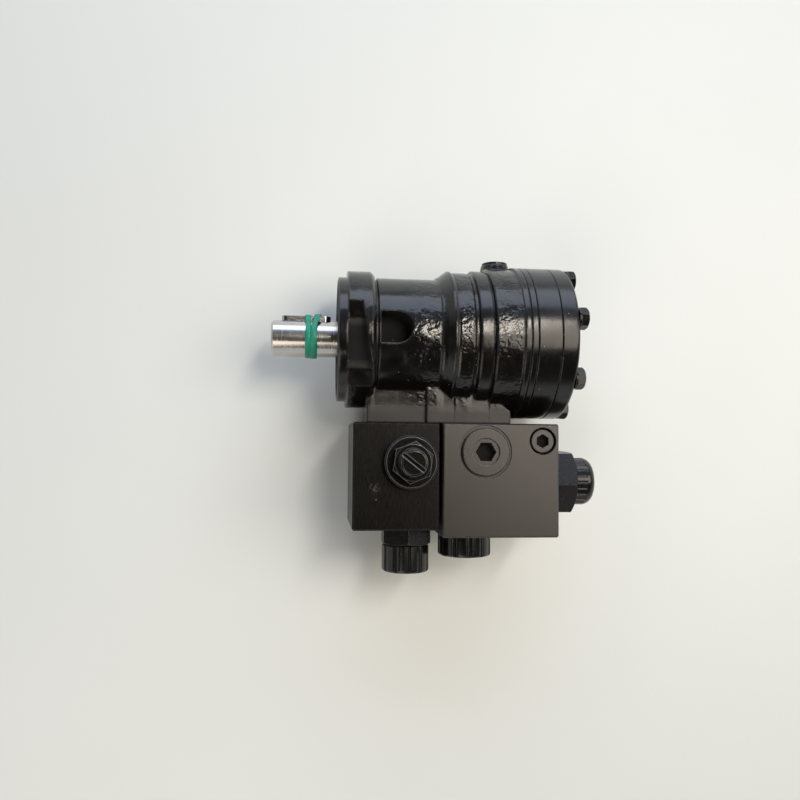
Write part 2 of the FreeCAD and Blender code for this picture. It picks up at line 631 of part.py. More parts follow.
# Distributor slots, turn about joined to the two ring grooves
slot_half = s.spool_slot_width / 2
slot_floor = spool_radius - s.spool_slot_depth
for name, start, end, turn in (
        ("slot_a", s.port_a_x, spool_end - s.oil_drill_depth / 3, 0.0),
        ("slot_b", s.port_b_x, spool_end - s.oil_drill_depth / 3, 180.0 / LOBES)):
    shaft_slot = new_sketch(shaft, "YZ_Plane", name + "_outline", start)
    corners = []
    for reach, across in ((slot_floor, -slot_half), (spool_radius * 1.1, -slot_half),
                          (spool_radius * 1.1, slot_half), (slot_floor, slot_half)):
        cos, sin = math.cos(math.radians(turn)), math.sin(math.radians(turn))
        corners.append((reach * cos - across * sin, reach * sin + across * cos))
    outline(shaft_slot, corners)
    cut = pocket(shaft, name, shaft_slot, end - start, backwards=True)
    repeat(shaft, name + "s", [cut], LOBES)

# Key in its keyway
key = new_body("shaft_key")
key_plan = outline(new_sketch(key, "XZ_Plane", "key_outline", -key_floor), [
    (-(s.key_start + s.key_length), -key_half), (-s.key_start, -key_half),
    (-s.key_start, key_half), (-(s.key_start + s.key_length), key_half)])
pad(key, "key_bar", key_plan, s.key_height, backwards=True)
soften(key, "Fillet", "key_ends", key_half - 0.02,
       lambda edge: abs(edge.Length - number(s.key_height)) < 0.01
       and abs(edge.tangentAt(edge.FirstParameter).y) > 0.9)


# Elastic band stretched round shaft and key
def band_shape():
    radius = value("shaft_radius") + value("running_gap")
    top = value("shaft_radius") - value("key_depth") + value("key_height") + value("running_gap")
    half = value("key_width") / 2 + value("running_gap")
    reach = math.hypot(top, half)
    lean = math.atan2(half, top) + math.acos(radius / reach)
    start = -value("band_start") - value("band_width")
    point = lambda y, z: FreeCAD.Vector(start, y, z)
    touch = point(radius * math.cos(lean), radius * math.sin(lean))
    mirror = point(touch.y, -touch.z)
    low = point(-radius, 0)
    wire = Part.Wire([
        Part.makeLine(mirror, point(top, -half)), Part.makeLine(point(top, -half), point(top, half)),
        Part.makeLine(point(top, half), touch), Part.Arc(touch, low, mirror).toShape()])
    outer = Part.Face(wire.makeOffset2D(value("band_thickness")))
    loop = outer.cut(Part.Face(wire))
    return loop.extrude(FreeCAD.Vector(value("band_width"), 0, 0))


solid_node("key_band", band_shape())


# Channel plate, stator ring and end cover
def section(label, start, thickness):
    body = new_body(label)
    turn_round(body, label + "_disc", [
        (start, 0), (start, s.section_radius - s.edge_chamfer),
        (start + s.edge_chamfer, s.section_radius),
        (start + thickness - s.edge_chamfer, s.section_radius),
        (start + thickness, s.section_radius - s.edge_chamfer), (start + thickness, 0)])
    return body


def screw_holes(body, start, thickness):
    radius = s.screw_radius + s.screw_hole_gap
    sketch = circles(new_sketch(body, "YZ_Plane", "screw_hole_outline", start),
                     [screw_place()], radius)
    hole = pocket(body, "screw_hole", sketch, thickness, backwards=True)
    repeat(body, "screw_holes", [hole], ROLLERS)


def seal_groove(body, name, face, direction):
    half = s.face_seal_width / 2 + s.running_gap
    turn_round(body, name, [
        (face, s.face_seal_radius - half), (face + s.face_seal_depth * direction,
                                            s.face_seal_radius - half),
        (face + s.face_seal_depth * direction, s.face_seal_radius + half),
        (face, s.face_seal_radius + half)], cut=True)


plate = section("channel_plate", s.housing_length, s.plate_thickness)
pocket(plate, "plate_bore",
       circles(new_sketch(plate, "YZ_Plane", "plate_bore_outline", s.housing_length),
               [(0, 0)], s.plate_bore_radius), s.plate_thickness, backwards=True)
plate_oil = pocket(plate, "plate_oil_hole",
                   circles(new_sketch(plate, "YZ_Plane", "plate_oil_outline", s.housing_length),
                           [oil_place], s.oil_hole_radius), s.plate_thickness, backwards=True)
repeat(plate, "plate_oil_holes", [plate_oil], ROLLERS)
screw_holes(plate, s.housing_length, s.plate_thickness)
seal_groove(plate, "front_groove", s.housing_length, 1)
seal_groove(plate, "rear_groove", plate_end, -1)

ring = section("geroler_ring", plate_end, s.ring_width)
land_radius = s.roller_circle - s.roller_radius + s.eccentricity * 2 + s.ring_land_gap
pocket(ring, "ring_bore",
       circles(new_sketch(ring, "YZ_Plane", "ring_bore_outline", plate_end),
               [(0, 0)], land_radius), s.ring_width, backwards=True)
roller_seat = pocket(
    ring, "roller_seat",
    circles(new_sketch(ring, "YZ_Plane", "roller_seat_outline", plate_end),
            [(s.roller_circle, 0)], s.roller_radius + s.pocket_gap),
    s.ring_width, backwards=True)
repeat(ring, "roller_seats", [roller_seat], ROLLERS)
screw_holes(ring, plate_end, s.ring_width)

cover = new_body("end_cover")
turn_round(cover, "end_cover_disc", [
    (ring_end, 0), (ring_end, s.section_radius - s.edge_chamfer),
    (ring_end + s.edge_chamfer, s.section_radius), (cover_end, s.section_radius),
    (cover_end, 0)])
soften(cover, "Fillet", "cover_edge", s.cover_rounding,
       lambda edge: is_circle(edge, s.section_radius, "x", cover_end))
screw_holes(cover, ring_end, s.cover_thickness)
seal_groove(cover, "cover_groove", ring_end, 1)


def face_seal(label, face, direction):
    body = new_body(label)
    half = s.face_seal_width / 2
    deep = face + s.face_seal_depth * direction
    turn_round(body, label + "_ring", [
        (face, s.face_seal_radius - half), (deep, s.face_seal_radius - half),
        (deep, s.face_seal_radius + half), (face, s.face_seal_radius + half)])


face_seal("housing_face_seal", s.housing_length, 1)
face_seal("plate_face_seal", plate_end, -1)
face_seal("cover_face_seal", ring_end, 1)

# Rollers, each in its own seat
for index in range(ROLLERS):
    angle = math.radians(360.0 / ROLLERS * index)
    roller = new_body("roller_%d" % (index + 1), (
        plate_end + s.axial_play, s.roller_circle * math.cos(angle),
        s.roller_circle * math.sin(angle)))
    turn_round(roller, "roller_pin", [
        (0, 0), (0, s.roller_radius), (s.ring_width - s.axial_play * 2, s.roller_radius),
        (s.ring_width - s.axial_play * 2, 0)])


# Six-lobed rotor: the path of the roller centres seen from the rotor,
# moved inwards by a roller's radius and the running gap
def rotor_shape():
    circle, eccentricity = value("roller_circle"), value("eccentricity")
    inset = value("roller_radius") + value("rotor_gap")
    start = number(plate_end) + value("axial_play")
    length = value("ring_width") - value("axial_play") * 2
    steps = LOBES * 16
    points = []
    for step in range(steps):
        even = 2 * math.pi * step / steps
        t = even - POINTS_AT_VALLEYS * math.sin(LOBES * even) / LOBES
        y = circle * math.cos(t) - eccentricity * math.cos(ROLLERS * t)
        z = circle * math.sin(t) - eccentricity * math.sin(ROLLERS * t)
        dy = -circle * math.sin(t) + ROLLERS * eccentricity * math.sin(ROLLERS * t)
        dz = circle * math.cos(t) - ROLLERS * eccentricity * math.cos(ROLLERS * t)
        speed = math.hypot(dy, dz)
        points.append(FreeCAD.Vector(start, y - inset * dz / speed + eccentricity,
                                     z + inset * dy / speed))
    curve = Part.BSplineCurve()
    curve.interpolate(Points=points, PeriodicFlag=True)
    body = Part.Face(Part.Wire(curve.toShape())).extrude(FreeCAD.Vector(length, 0, 0))
    centre = FreeCAD.Vector(start, eccentricity, 0)
    along = FreeCAD.Vector(1, 0, 0)
    body = body.cut(Part.makeCylinder(value("spline_tip"), length, centre, along))
    half = value("spline_space") / 2
    low, root = value("spline_tip") - value("cut_over"), value("spline_root")
    corners = [(low, -half), (root, -half * 0.8), (root, half * 0.8), (low, half), (low, -half)]
    space = Part.Face(Part.makePolygon([
        FreeCAD.Vector(start, eccentricity + y, z) for y, z in corners]))
    tooth = space.extrude(FreeCAD.Vector(length, 0, 0))
    spaces = []
    for index in range(SPLINE_TEETH):
        turned = tooth.copy()
        turned.rotate(centre, along, 360.0 / SPLINE_TEETH * index)
        spaces.append(turned)
    return body.cut(Part.makeCompound(spaces))


solid_node("rotor", rotor_shape())

# Toothed drive link, leaning from the shaft axis to the rotor's axis
link_length = s.link_rear - s.link_front
head_half = s.link_head_length / 2
link = new_body("cardan_shaft", (s.link_front,), arcsine(s.eccentricity / link_length))
turn_round(link, "link_turning", [
    (-head_half, 0), (-head_half, s.link_root), (head_half, s.link_root),
    (head_half + head_half, s.link_neck_radius), (link_length * 0.35, s.link_shank_radius),
    (link_length * 0.65, s.link_shank_radius), (link_length - head_half * 2, s.link_neck_radius),
    (link_length - head_half, s.link_root), (link_length + head_half, s.link_root),
    (link_length + head_half, 0)])
tooth_half = s.link_tooth / 2
teeth = []
for name, start in (("front_tooth", -head_half), ("rear_tooth", link_length - head_half)):
    tooth_plan = outline(new_sketch(link, "YZ_Plane", name + "_outline", start), [
        (s.link_root - s.cut_over, -tooth_half), (s.link_tip, -tooth_half * 0.85),
        (s.link_tip, tooth_half * 0.85), (s.link_root - s.cut_over, tooth_half)])
    tooth = pad(link, name, tooth_plan, s.link_head_length)
    repeat(link, name + "_teeth", [tooth], SPLINE_TEETH)

spacer = new_body("cardan_spacer", (0, s.eccentricity))
turn_round(spacer, "spacer_disc", [
    (s.link_rear + head_half + s.link_spacer_gap, 0),
    (s.link_rear + head_half + s.link_spacer_gap, s.link_spacer_radius),
    (ring_end - s.axial_play * 4, s.link_spacer_radius), (ring_end - s.axial_play * 4, 0)])


# Seven cover screws and their washers
def on_screw_circle(shape):
    copies = []
    for index in range(ROLLERS):
        angle = value("screw_turn") + 360.0 / ROLLERS * index
        copy = shape.copy()
        copy.rotate(FreeCAD.Vector(), FreeCAD.Vector(1, 0, 0), angle)
        copies.append(copy)
    return Part.makeCompound(copies)


def hex_head(flats, height, bore=0.0):
    """A hexagon along +X from the origin with its outer corners turned off."""
    corner = flats / math.sqrt(3)
    points = [FreeCAD.Vector(0, corner * math.cos(math.radians(60 * i)),
                             corner * math.sin(math.radians(60 * i))) for i in range(7)]
    prism = Part.Face(Part.makePolygon(points)).extrude(FreeCAD.Vector(height, 0, 0))
    slope = (corner - flats / 2) * 1.2
    along = FreeCAD.Vector(1, 0, 0)
    cone = Part.makeCone(corner, flats / 2 - slope * 0.1, slope * 0.8,
                         FreeCAD.Vector(height - slope * 0.8, 0, 0), along)
    envelope = Part.makeCylinder(corner, height - slope * 0.8, FreeCAD.Vector(), along).fuse(cone)
    return prism.common(envelope)


def cover_screws():
    head = hex_head(value("screw_head_flats"), value("screw_head_height"))
    seat = number(cover_end) + value("washer_thickness")
    radius = value("screw_circle_radius")
    head.translate(FreeCAD.Vector(seat, radius, 0))
    tip = value("housing_length") - value("screw_grip") + value("cut_over")
    shank = Part.makeCylinder(value("screw_radius") - value("running_gap"), seat - tip,
                              FreeCAD.Vector(tip, radius, 0), FreeCAD.Vector(1, 0, 0))
    return on_screw_circle(head.fuse(shank))


solid_node("end_cover_screws", cover_screws())
solid_node("end_cover_washers", on_screw_circle(washer_shape(
    value("screw_radius") + value("screw_hole_gap"), value("washer_radius"),
    FreeCAD.Vector(number(cover_end), value("screw_circle_radius"), 0),
    FreeCAD.Vector(1, 0, 0), value("washer_thickness"))))

# Drain plug and washer
drain_washer = new_body("drain_plug_washer", (s.drain_x,))
turn_round(drain_washer, "drain_washer_ring", [
    (s.drain_bore_radius, s.drain_reach), (s.drain_top_radius - s.edge_chamfer, s.drain_reach),
    (s.drain_top_radius - s.edge_chamfer, s.drain_reach + s.edge_chamfer),
    (s.drain_bore_radius, s.drain_reach + s.edge_chamfer)], about="V_Axis")
drain_plug = new_body("drain_plug", (s.drain_x,))
plug_seat = s.drain_reach + s.edge_chamfer
turn_round(drain_plug, "drain_plug_turning", [
    (0, s.drain_reach - s.drain_bore_depth * 0.6),
    (s.drain_bore_radius - s.running_gap, s.drain_reach - s.drain_bore_depth * 0.6),
    (s.drain_bore_radius - s.running_gap, plug_seat),
    (s.drain_top_radius - s.edge_chamfer, plug_seat),
    (s.drain_top_radius - s.edge_chamfer, plug_seat + s.edge_chamfer * 2),
    (s.drain_bore_radius, plug_seat + s.edge_chamfer * 3),
    (0, plug_seat + s.edge_chamfer * 3)], about="V_Axis")


# Valve blocks
def valve_block(label, start, end, depth):
    body = new_body(label)
    plan = outline(new_sketch(body, "XY_Plane", "block_outline", -s.block_half_height), [
        (start, -s.port_face), (end, -s.port_face),
        (end, -s.port_face - depth), (start, -s.port_face - depth)])
    pad(body, "block", plan, s.block_half_height * 2)
    soften(body, "Chamfer", "block_edges", s.block_chamfer, lambda edge: True)
    return body


def drill(body, name, role, level, centres, radius, depth, backwards=False):
    sketch = circles(new_sketch(body, role, name + "_outline", level), centres, radius)
    return pocket(body, name, sketch, depth, backwards)


def block_screw_holes(body, places, depth):
    face = s.port_face + depth
    drill(body, "screw_bores", "XZ_Plane", face, places,
          s.block_screw_radius + s.screw_hole_gap, depth)
    drill(body, "screw_sinks", "XZ_Plane", face, places,
          s.block_screw_head + s.screw_hole_gap, s.block_screw_sink)


left_block = valve_block("left_block", s.left_block_start, s.left_block_end, s.left_block_depth)
left_face = s.port_face + s.left_block_depth
block_screw_holes(left_block, left_places, s.left_block_depth)
drill(left_block, "port_way", "XZ_Plane", left_face, [(s.port_a_x, 0)], s.port_radius,
      s.left_block_depth)
drill(left_block, "fitting_thread", "XZ_Plane", left_face, [(s.port_a_x, 0)],
      s.fitting_radius, s.fitting_grip + s.cut_over)
relief_axis = [(s.relief_x, -s.relief_y)]
drill(left_block, "relief_bore", "XY_Plane", s.block_half_height, relief_axis,
      s.relief_bore_radius, s.block_half_height - s.relief_floor)
drill(left_block, "relief_way", "XY_Plane", s.block_half_height, relief_axis,
      s.relief_seat_radius, s.block_half_height)

right_block = valve_block("right_block", s.right_block_start, s.right_block_end,
                          s.right_block_depth)
right_face = s.port_face + s.right_block_depth
block_screw_holes(right_block, right_places, s.right_block_depth)
drill(right_block, "port_way", "XZ_Plane", right_face, [(s.port_b_x, 0)], s.port_radius,
      s.right_block_depth)
drill(right_block, "fitting_thread", "XZ_Plane", right_face, [(s.port_b_x, 0)],
      s.fitting_radius, s.fitting_grip + s.cut_over)
plug_axis = [(s.plug_x, -s.plug_y)]
plug_face = s.block_half_height - s.spotface_depth
plug_bottom = plug_face - s.plug_shank_length
drill(right_block, "spotface", "XY_Plane", s.block_half_height, plug_axis,
      s.spotface_radius, s.spotface_depth)
drill(right_block, "plug_thread", "XY_Plane", s.block_half_height, plug_axis,
      s.plug_shank_radius + s.running_gap, s.block_half_height - plug_bottom + s.cut_over)
drill(right_block, "check_chamber", "XY_Plane", s.block_half_height, plug_axis,
      s.check_chamber_radius, s.block_half_height - s.check_seat_level)
drill(right_block, "check_way", "XY_Plane", s.block_half_height, plug_axis,
      s.check_seat_radius, s.block_half_height)
screw_axis = [(s.cap_screw_x, -s.cap_screw_y)]
drill(right_block, "cap_screw_sink", "XY_Plane", s.block_half_height, screw_axis,
      s.cap_screw_sink_radius, s.cap_screw_sink)
drill(right_block, "cap_screw_bore", "XY_Plane", s.block_half_height, screw_axis,
      s.cap_screw_radius + s.running_gap, s.cap_screw_sink + s.cap_screw_length + s.cut_over)
drill(right_block, "side_bore", "YZ_Plane", s.right_block_end, [(-s.side_y, 0)],
      s.side_shank_radius + s.running_gap, s.side_shank_length + s.cut_over)


# Screws that hold the blocks on the port face
def block_screws(places, depth):
    face = -(value("port_face") + number(depth)) + value("block_screw_sink")
    tip = -value("port_face") + value("block_screw_grip")
    along = FreeCAD.Vector(0, 1, 0)
    screws = []
    for x, z in places:
        foot = FreeCAD.Vector(number(x), face, number(z))
        shank = Part.makeCylinder(value("block_screw_radius") - value("running_gap"),
                                  tip - face, foot, along)
        head = Part.makeCylinder(value("block_screw_head"), value("block_screw_head_height"),
                                 foot, FreeCAD.Vector(0, -1, 0))
        screws.append(shank.fuse(head))
    return Part.makeCompound(screws)


solid_node("left_block_screws", block_screws(left_places, s.left_block_depth))
solid_node("right_block_screws", block_screws(right_places, s.right_block_depth))
solid_node("port_seals", Part.makeCompound([
    washer_shape(value("port_seal_radius") - value("port_seal_width") / 2,
                 value("port_seal_radius") + value("port_seal_width") / 2,
                 FreeCAD.Vector(number(x), -value("port_face"), 0),
                 FreeCAD.Vector(0, 1, 0), value("port_seal_depth"))
    for x in (s.port_a_x, s.port_b_x)]))


# Relief valve on the left block, built along its own axis
relief_place = (s.relief_x, -s.relief_y)
collar_top = s.block_half_height + s.relief_collar_height
seat_top = s.relief_floor + s.relief_seat_height
cartridge_bore = s.adjuster_radius + s.running_gap
shank_radius = s.relief_bore_radius - s.relief_shank_gap

cartridge = new_body("relief_cartridge", relief_place)
turn_round(cartridge, "cartridge_turning", [
    (s.relief_seat_radius, s.relief_floor), (shank_radius, s.relief_floor),
    (shank_radius, s.block_half_height), (s.relief_collar_radius, s.block_half_height),
    (s.relief_collar_radius, collar_top - s.edge_chamfer * 2),
    (s.relief_collar_radius - s.edge_chamfer * 2, collar_top),
    (cartridge_bore, collar_top), (cartridge_bore, seat_top), (s.relief_seat_radius, seat_top),
], about="V_Axis", role="XZ_Plane")

nose_radius = s.relief_seat_radius - s.edge_chamfer * 3
poppet_cone = s.poppet_radius - nose_radius
poppet_start = seat_top - s.edge_chamfer * 3 + s.axial_play * 2
spring_start = poppet_start + s.poppet_height
poppet = new_body("relief_poppet", relief_place)
turn_round(poppet, "poppet_turning", [
    (0, poppet_start), (nose_radius, poppet_start),
    (s.poppet_radius, poppet_start + poppet_cone), (s.poppet_radius, spring_start),
    (s.spring_guide_radius, spring_start),
    (s.spring_guide_radius, spring_start + s.poppet_guide_length),
    (0, spring_start + s.poppet_guide_length)], about="V_Axis", role="XZ_Plane")

spring_top = spring_start + s.relief_spring_length
seat_back = spring_top + s.spring_seat_height
spring_seat = new_body("relief_spring_seat", relief_place)
turn_round(spring_seat, "seat_turning", [
    (0, spring_top - s.seat_guide_length), (s.spring_guide_radius, spring_top - s.seat_guide_length),
    (s.spring_guide_radius, spring_top), (s.adjuster_radius - s.running_gap, spring_top),
    (s.adjuster_radius - s.running_gap, seat_back), (0, seat_back)],
    about="V_Axis", role="XZ_Plane")


def coil_spring(centre, bottom, length, radius, wire, pitch):
    """A helical wire between two levels along +Z, clear of both by its radius."""
    helix = Part.makeHelix(pitch, length - wire * 2.1, radius)
    helix.translate(FreeCAD.Vector(0, 0, wire * 1.05))
    circle = Part.Wire(Part.makeCircle(wire, FreeCAD.Vector(radius, 0, wire * 1.05),
                                       FreeCAD.Vector(0, 1, 0)))
    coil = Part.Wire(helix.Edges).makePipeShell([circle], True, True)
    coil.translate(FreeCAD.Vector(centre[0], centre[1], bottom))
    return coil


solid_node("relief_spring", coil_spring(
    (value("relief_x"), -value("relief_y")), number(spring_start),
    value("relief_spring_length"), value("relief_spring_radius"),
    value("relief_wire_radius"), value("relief_spring_pitch")))

adjuster = new_body("relief_adjusting_screw", relief_place)
adjuster_top = seat_back + s.adjuster_length
turn_round(adjuster, "adjuster_turning", [
    (0, seat_back), (s.adjuster_radius, seat_back),
    (s.adjuster_radius, adjuster_top - s.adjuster_rounding),
    (s.adjuster_radius - s.adjuster_rounding * 0.3, adjuster_top - s.adjuster_rounding * 0.3),
    (s.adjuster_radius - s.adjuster_rounding, adjuster_top), (0, adjuster_top)],
    about="V_Axis", role="XZ_Plane")
slot_corners = []
for along_slot, across_slot in ((-1.1, -0.5), (1.1, -0.5), (1.1, 0.5), (-1.1, 0.5)):
    reach, across = s.adjuster_radius * along_slot, s.adjuster_slot_width * across_slot
    cos, sin = cosine(s.adjuster_slot_turn), sine(s.adjuster_slot_turn)
    slot_corners.append((reach * cos - across * sin, reach * sin + across * cos))
slot = outline(new_sketch(adjuster, "XY_Plane", "slot_outline", adjuster_top), slot_corners)
pocket(adjuster, "slot", slot, s.adjuster_slot_depth)

lock_nut = new_body("relief_lock_nut", relief_place, s.lock_nut_turn)
nut_start = collar_top + s.axial_play
nut_top = nut_start + s.lock_nut_height
nut_plan = hexagon(new_sketch(lock_nut, "XY_Plane", "nut_outline", nut_start), s.lock_nut_flats)
circles(nut_plan, [(0, 0)], s.adjuster_radius + s.running_gap)
pad(lock_nut, "nut", nut_plan, s.lock_nut_height)
turn_round(lock_nut, "nut_corners", [
    (s.lock_nut_flats / 2 - s.edge_chamfer / 2, nut_top),
    (s.lock_nut_flats * 0.7, nut_top),
    (s.lock_nut_flats * 0.7, nut_top - s.lock_nut_flats * 0.1)],
    about="V_Axis", role="XZ_Plane", cut=True)

# Check valve under the large plug
plug_place = (s.plug_x, -s.plug_y)
plug_top = plug_face + s.plug_collar_height
plug = new_body("check_plug", plug_place)
turn_round(plug, "plug_turning", [
    (0, plug_bottom + s.plug_recess_depth),
    (s.check_chamber_radius - s.edge_chamfer, plug_bottom + s.plug_recess_depth),
    (s.check_chamber_radius - s.edge_chamfer, plug_bottom), (s.plug_shank_radius, plug_bottom),
    (s.plug_shank_radius, plug_face - s.plug_seal_height),
    (s.plug_shank_radius - s.plug_seal_width, plug_face - s.plug_seal_height),
    (s.plug_shank_radius - s.plug_seal_width, plug_face), (s.plug_collar_radius, plug_face),
    (s.plug_collar_radius, plug_top - s.edge_chamfer),
    (s.plug_collar_radius - s.edge_chamfer, plug_top), (0, plug_top)],
    about="V_Axis", role="XZ_Plane")
pocket(plug, "plug_socket",
       hexagon(new_sketch(plug, "XY_Plane", "socket_outline", plug_top), s.plug_socket_flats),
       s.plug_socket_depth)
pocket(plug, "socket_mouth",
       circles(new_sketch(plug, "XY_Plane", "socket_mouth_outline", plug_top),
               [(0, 0)], s.plug_socket_mouth), s.edge_chamfer * 2)

plug_seal = new_body("check_plug_seal", plug_place)
turn_round(plug_seal, "plug_seal_ring", [
    (s.plug_shank_radius - s.plug_seal_width, plug_face - s.plug_seal_height),
    (s.plug_shank_radius, plug_face - s.plug_seal_height), (s.plug_shank_radius, plug_face),
    (s.plug_shank_radius - s.plug_seal_width, plug_face)], about="V_Axis", role="XZ_Plane")

ball_level = s.check_seat_level + s.axial_play * 2 + Size(
    math.sqrt(value("check_ball_radius") ** 2 - value("check_seat_radius") ** 2),
    "sqrt(sizes.check_ball_radius ^ 2 - sizes.check_seat_radius ^ 2)")
ball = doc.addObject("Part::Sphere", "check_ball")
ball.Label = "check_ball"
bind(ball, "Radius", s.check_ball_radius)
for letter, size in zip("xyz", (s.plug_x, -s.plug_y, ball_level)):
    bind(ball, "Placement.Base." + letter, size)
parts["check_ball"] = ball

check_spring_inner = value("check_spring_radius") - value("check_wire_radius")
check_spring_foot = number(ball_level) + math.sqrt(
    value("check_ball_radius") ** 2 - check_spring_inner ** 2)
check_spring_top = number(plug_bottom) + value("plug_recess_depth")
solid_node("check_spring", coil_spring(
    (value("plug_x"), -value("plug_y")), check_spring_foot,
    check_spring_top - check_spring_foot, value("check_spring_radius"),
    value("check_wire_radius"), value("check_spring_pitch")))

# Socket screw beside the plug
cap_screw = new_body("socket_screw", (s.cap_screw_x, -s.cap_screw_y))
head_seat = s.block_half_height - s.cap_screw_sink
head_top = head_seat + s.cap_screw_head_height
turn_round(cap_screw, "cap_screw_turning", [
    (0, head_seat - s.cap_screw_length), (s.cap_screw_radius, head_seat - s.cap_screw_length),
    (s.cap_screw_radius, head_seat), (s.cap_screw_head, head_seat),
    (s.cap_screw_head, head_top - s.edge_chamfer),
    (s.cap_screw_head - s.edge_chamfer, head_top), (0, head_top)],
    about="V_Axis", role="XZ_Plane")
pocket(cap_screw, "cap_screw_socket",
       hexagon(new_sketch(cap_screw, "XY_Plane", "cap_socket_outline", head_top),
               s.cap_screw_socket, turn=30.0), s.cap_screw_socket_depth)

# Large hexagon cartridge on the end of the right block and its ribbed cap
side = new_body("side_cartridge", (s.right_block_end, -s.side_y), s.side_turn, (1, 0, 0))
hex_plan = hexagon(new_sketch(side, "YZ_Plane", "side_hex_outline"), s.side_flats, turn=90.0)
pad(side, "side_hex", hex_plan, s.side_hex_length)
turn_round(side, "side_hex_corners", [
    (s.side_hex_length, s.side_flats / 2 - s.edge_chamfer),
    (s.side_hex_length, s.side_flats * 0.7),
    (s.side_hex_length - s.side_flats * 0.12, s.side_flats * 0.7)], cut=True)
turn_round(side, "side_stem", [
    (-s.side_shank_length, 0), (-s.side_shank_length, s.side_shank_radius),
    (s.side_hex_length, s.side_shank_radius), (s.side_hex_length, s.side_stub_radius),
    (s.side_hex_length + s.side_stub_length, s.side_stub_radius),
    (s.side_hex_length + s.side_stub_length, 0)])

knob = new_body("side_cap", (s.right_block_end + s.side_hex_length + s.knob_gap, -s.side_y))
turn_round(knob, "knob_turning", [
    (0, s.side_stub_radius + s.cap_gap), (0, s.knob_radius), (s.knob_length, s.knob_radius),
    (s.knob_length, 0), (s.side_stub_length + s.knob_gap, 0),
    (s.side_stub_length + s.knob_gap, s.side_stub_radius + s.cap_gap)])
soften(knob, "Fillet", "knob_edge", s.knob_rounding,
       lambda edge: is_circle(edge, s.knob_radius, "x", s.knob_length))
rib = pocket(knob, "rib_gap",
             circles(new_sketch(knob, "YZ_Plane", "rib_outline"),
                     [(s.knob_radius + s.knob_rib_depth * 0.6, 0)], s.knob_rib_depth * 1.6),
             s.knob_length - s.knob_rounding, backwards=True)
repeat(knob, "ribs", [rib], KNOB_RIBS)


# Outlet fittings on the lower side, built along -Y
def fitting(label, port_x, face, hex_length, stub_radius, reach):
    body = new_body(label, (port_x,))
    end = face + hex_length + reach
    if hex_length is not ZERO:
        plan = hexagon(new_sketch(body, "XZ_Plane", "fitting_hex_outline", face),
                       s.fitting_flats, turn=90.0)
        pad(body, "fitting_hex", plan, hex_length)
        for name, level, direction in (("inner_corners", face, 1),
                                       ("outer_corners", face + hex_length, -1)):
            turn_round(body, name, [
                (s.fitting_flats / 2 - s.edge_chamfer, -level),
                (s.fitting_flats * 0.7, -level),
                (s.fitting_flats * 0.7, -(level + s.fitting_flats * (0.12 * direction)))],
                about="V_Axis", cut=True)
    grip_radius = s.fitting_radius - s.running_gap
    turn_round(body, "fitting_stem", [
        (0, -(face - s.fitting_grip)), (grip_radius, -(face - s.fitting_grip)),
        (grip_radius, -(face - s.fitting_seal_height)),
        (grip_radius - s.fitting_seal_width, -(face - s.fitting_seal_height)),
        (grip_radius - s.fitting_seal_width, -face), (stub_radius, -face), (stub_radius, -end),
        (0, -end)], about="V_Axis")
    drill(body, "fitting_way", "XZ_Plane", end, [(0, 0)], s.fitting_bore,
          end - face + s.fitting_grip)
    return body


def fluted_cap(label, port_x, start, radius, length, stub_radius):
    body = new_body(label, (port_x,))
    end = start + length
    inner = stub_radius + s.cap_gap
    turn_round(body, "cap_turning", [
        (inner, -start), (radius, -start), (radius, -end), (0, -end),
        (0, -(end - s.cap_end_wall)), (inner, -(end - s.cap_end_wall))], about="V_Axis")
    soften(body, "Fillet", "cap_edge", s.cap_rounding,
           lambda edge: is_circle(edge, radius, "y", -end))
    flute = drill(body, "flute", "XZ_Plane", end,
                  [(radius + s.cap_flute_radius - s.cap_flute_depth, 0)],
                  s.cap_flute_radius, length)
    repeat(body, "flutes", [flute], CAP_FLUTES, "Y_Axis")


ZERO = Size(0.0, "0")
fitting("left_fitting", s.port_a_x, left_face, s.fitting_hex_length, s.fitting_radius,
        s.fitting_reach)
fluted_cap("left_cap", s.port_a_x, left_face + s.fitting_hex_length + s.cap_stand_off,
           s.left_cap_radius, s.left_cap_length, s.fitting_radius)
fitting("right_fitting", s.port_b_x, right_face, ZERO, s.right_stub_radius,
        s.right_stub_reach)
fluted_cap("right_cap", s.port_b_x, right_face + s.cap_stand_off, s.right_cap_radius,
           s.right_cap_length, s.right_stub_radius)

solid_node("fitting_seals", Part.makeCompound([
    washer_shape(value("fitting_radius") - value("running_gap") - value("fitting_seal_width"),
                 value("fitting_radius") - value("running_gap"),
                 FreeCAD.Vector(number(x), -number(face), 0), FreeCAD.Vector(0, 1, 0),
                 value("fitting_seal_height"))
    for x, face in ((s.port_a_x, left_face), (s.port_b_x, right_face))]))

# Write every sub-part
doc.recompute()
problems = [item.Name for item in doc.Objects
            if "Invalid" in item.State or "Error" in item.State]
for label, item in parts.items():
    if item.Shape.isNull() or not item.Shape.isValid():
        problems.append(label)
if problems:
    raise RuntimeError("failed objects: " + ", ".join(problems))
os.makedirs("parts", exist_ok=True)
for label, item in parts.items():
    item.Shape.exportStep(os.path.join("parts", label + ".step"))
print("%d sub-parts written" % len(parts))
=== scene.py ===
import json
import math

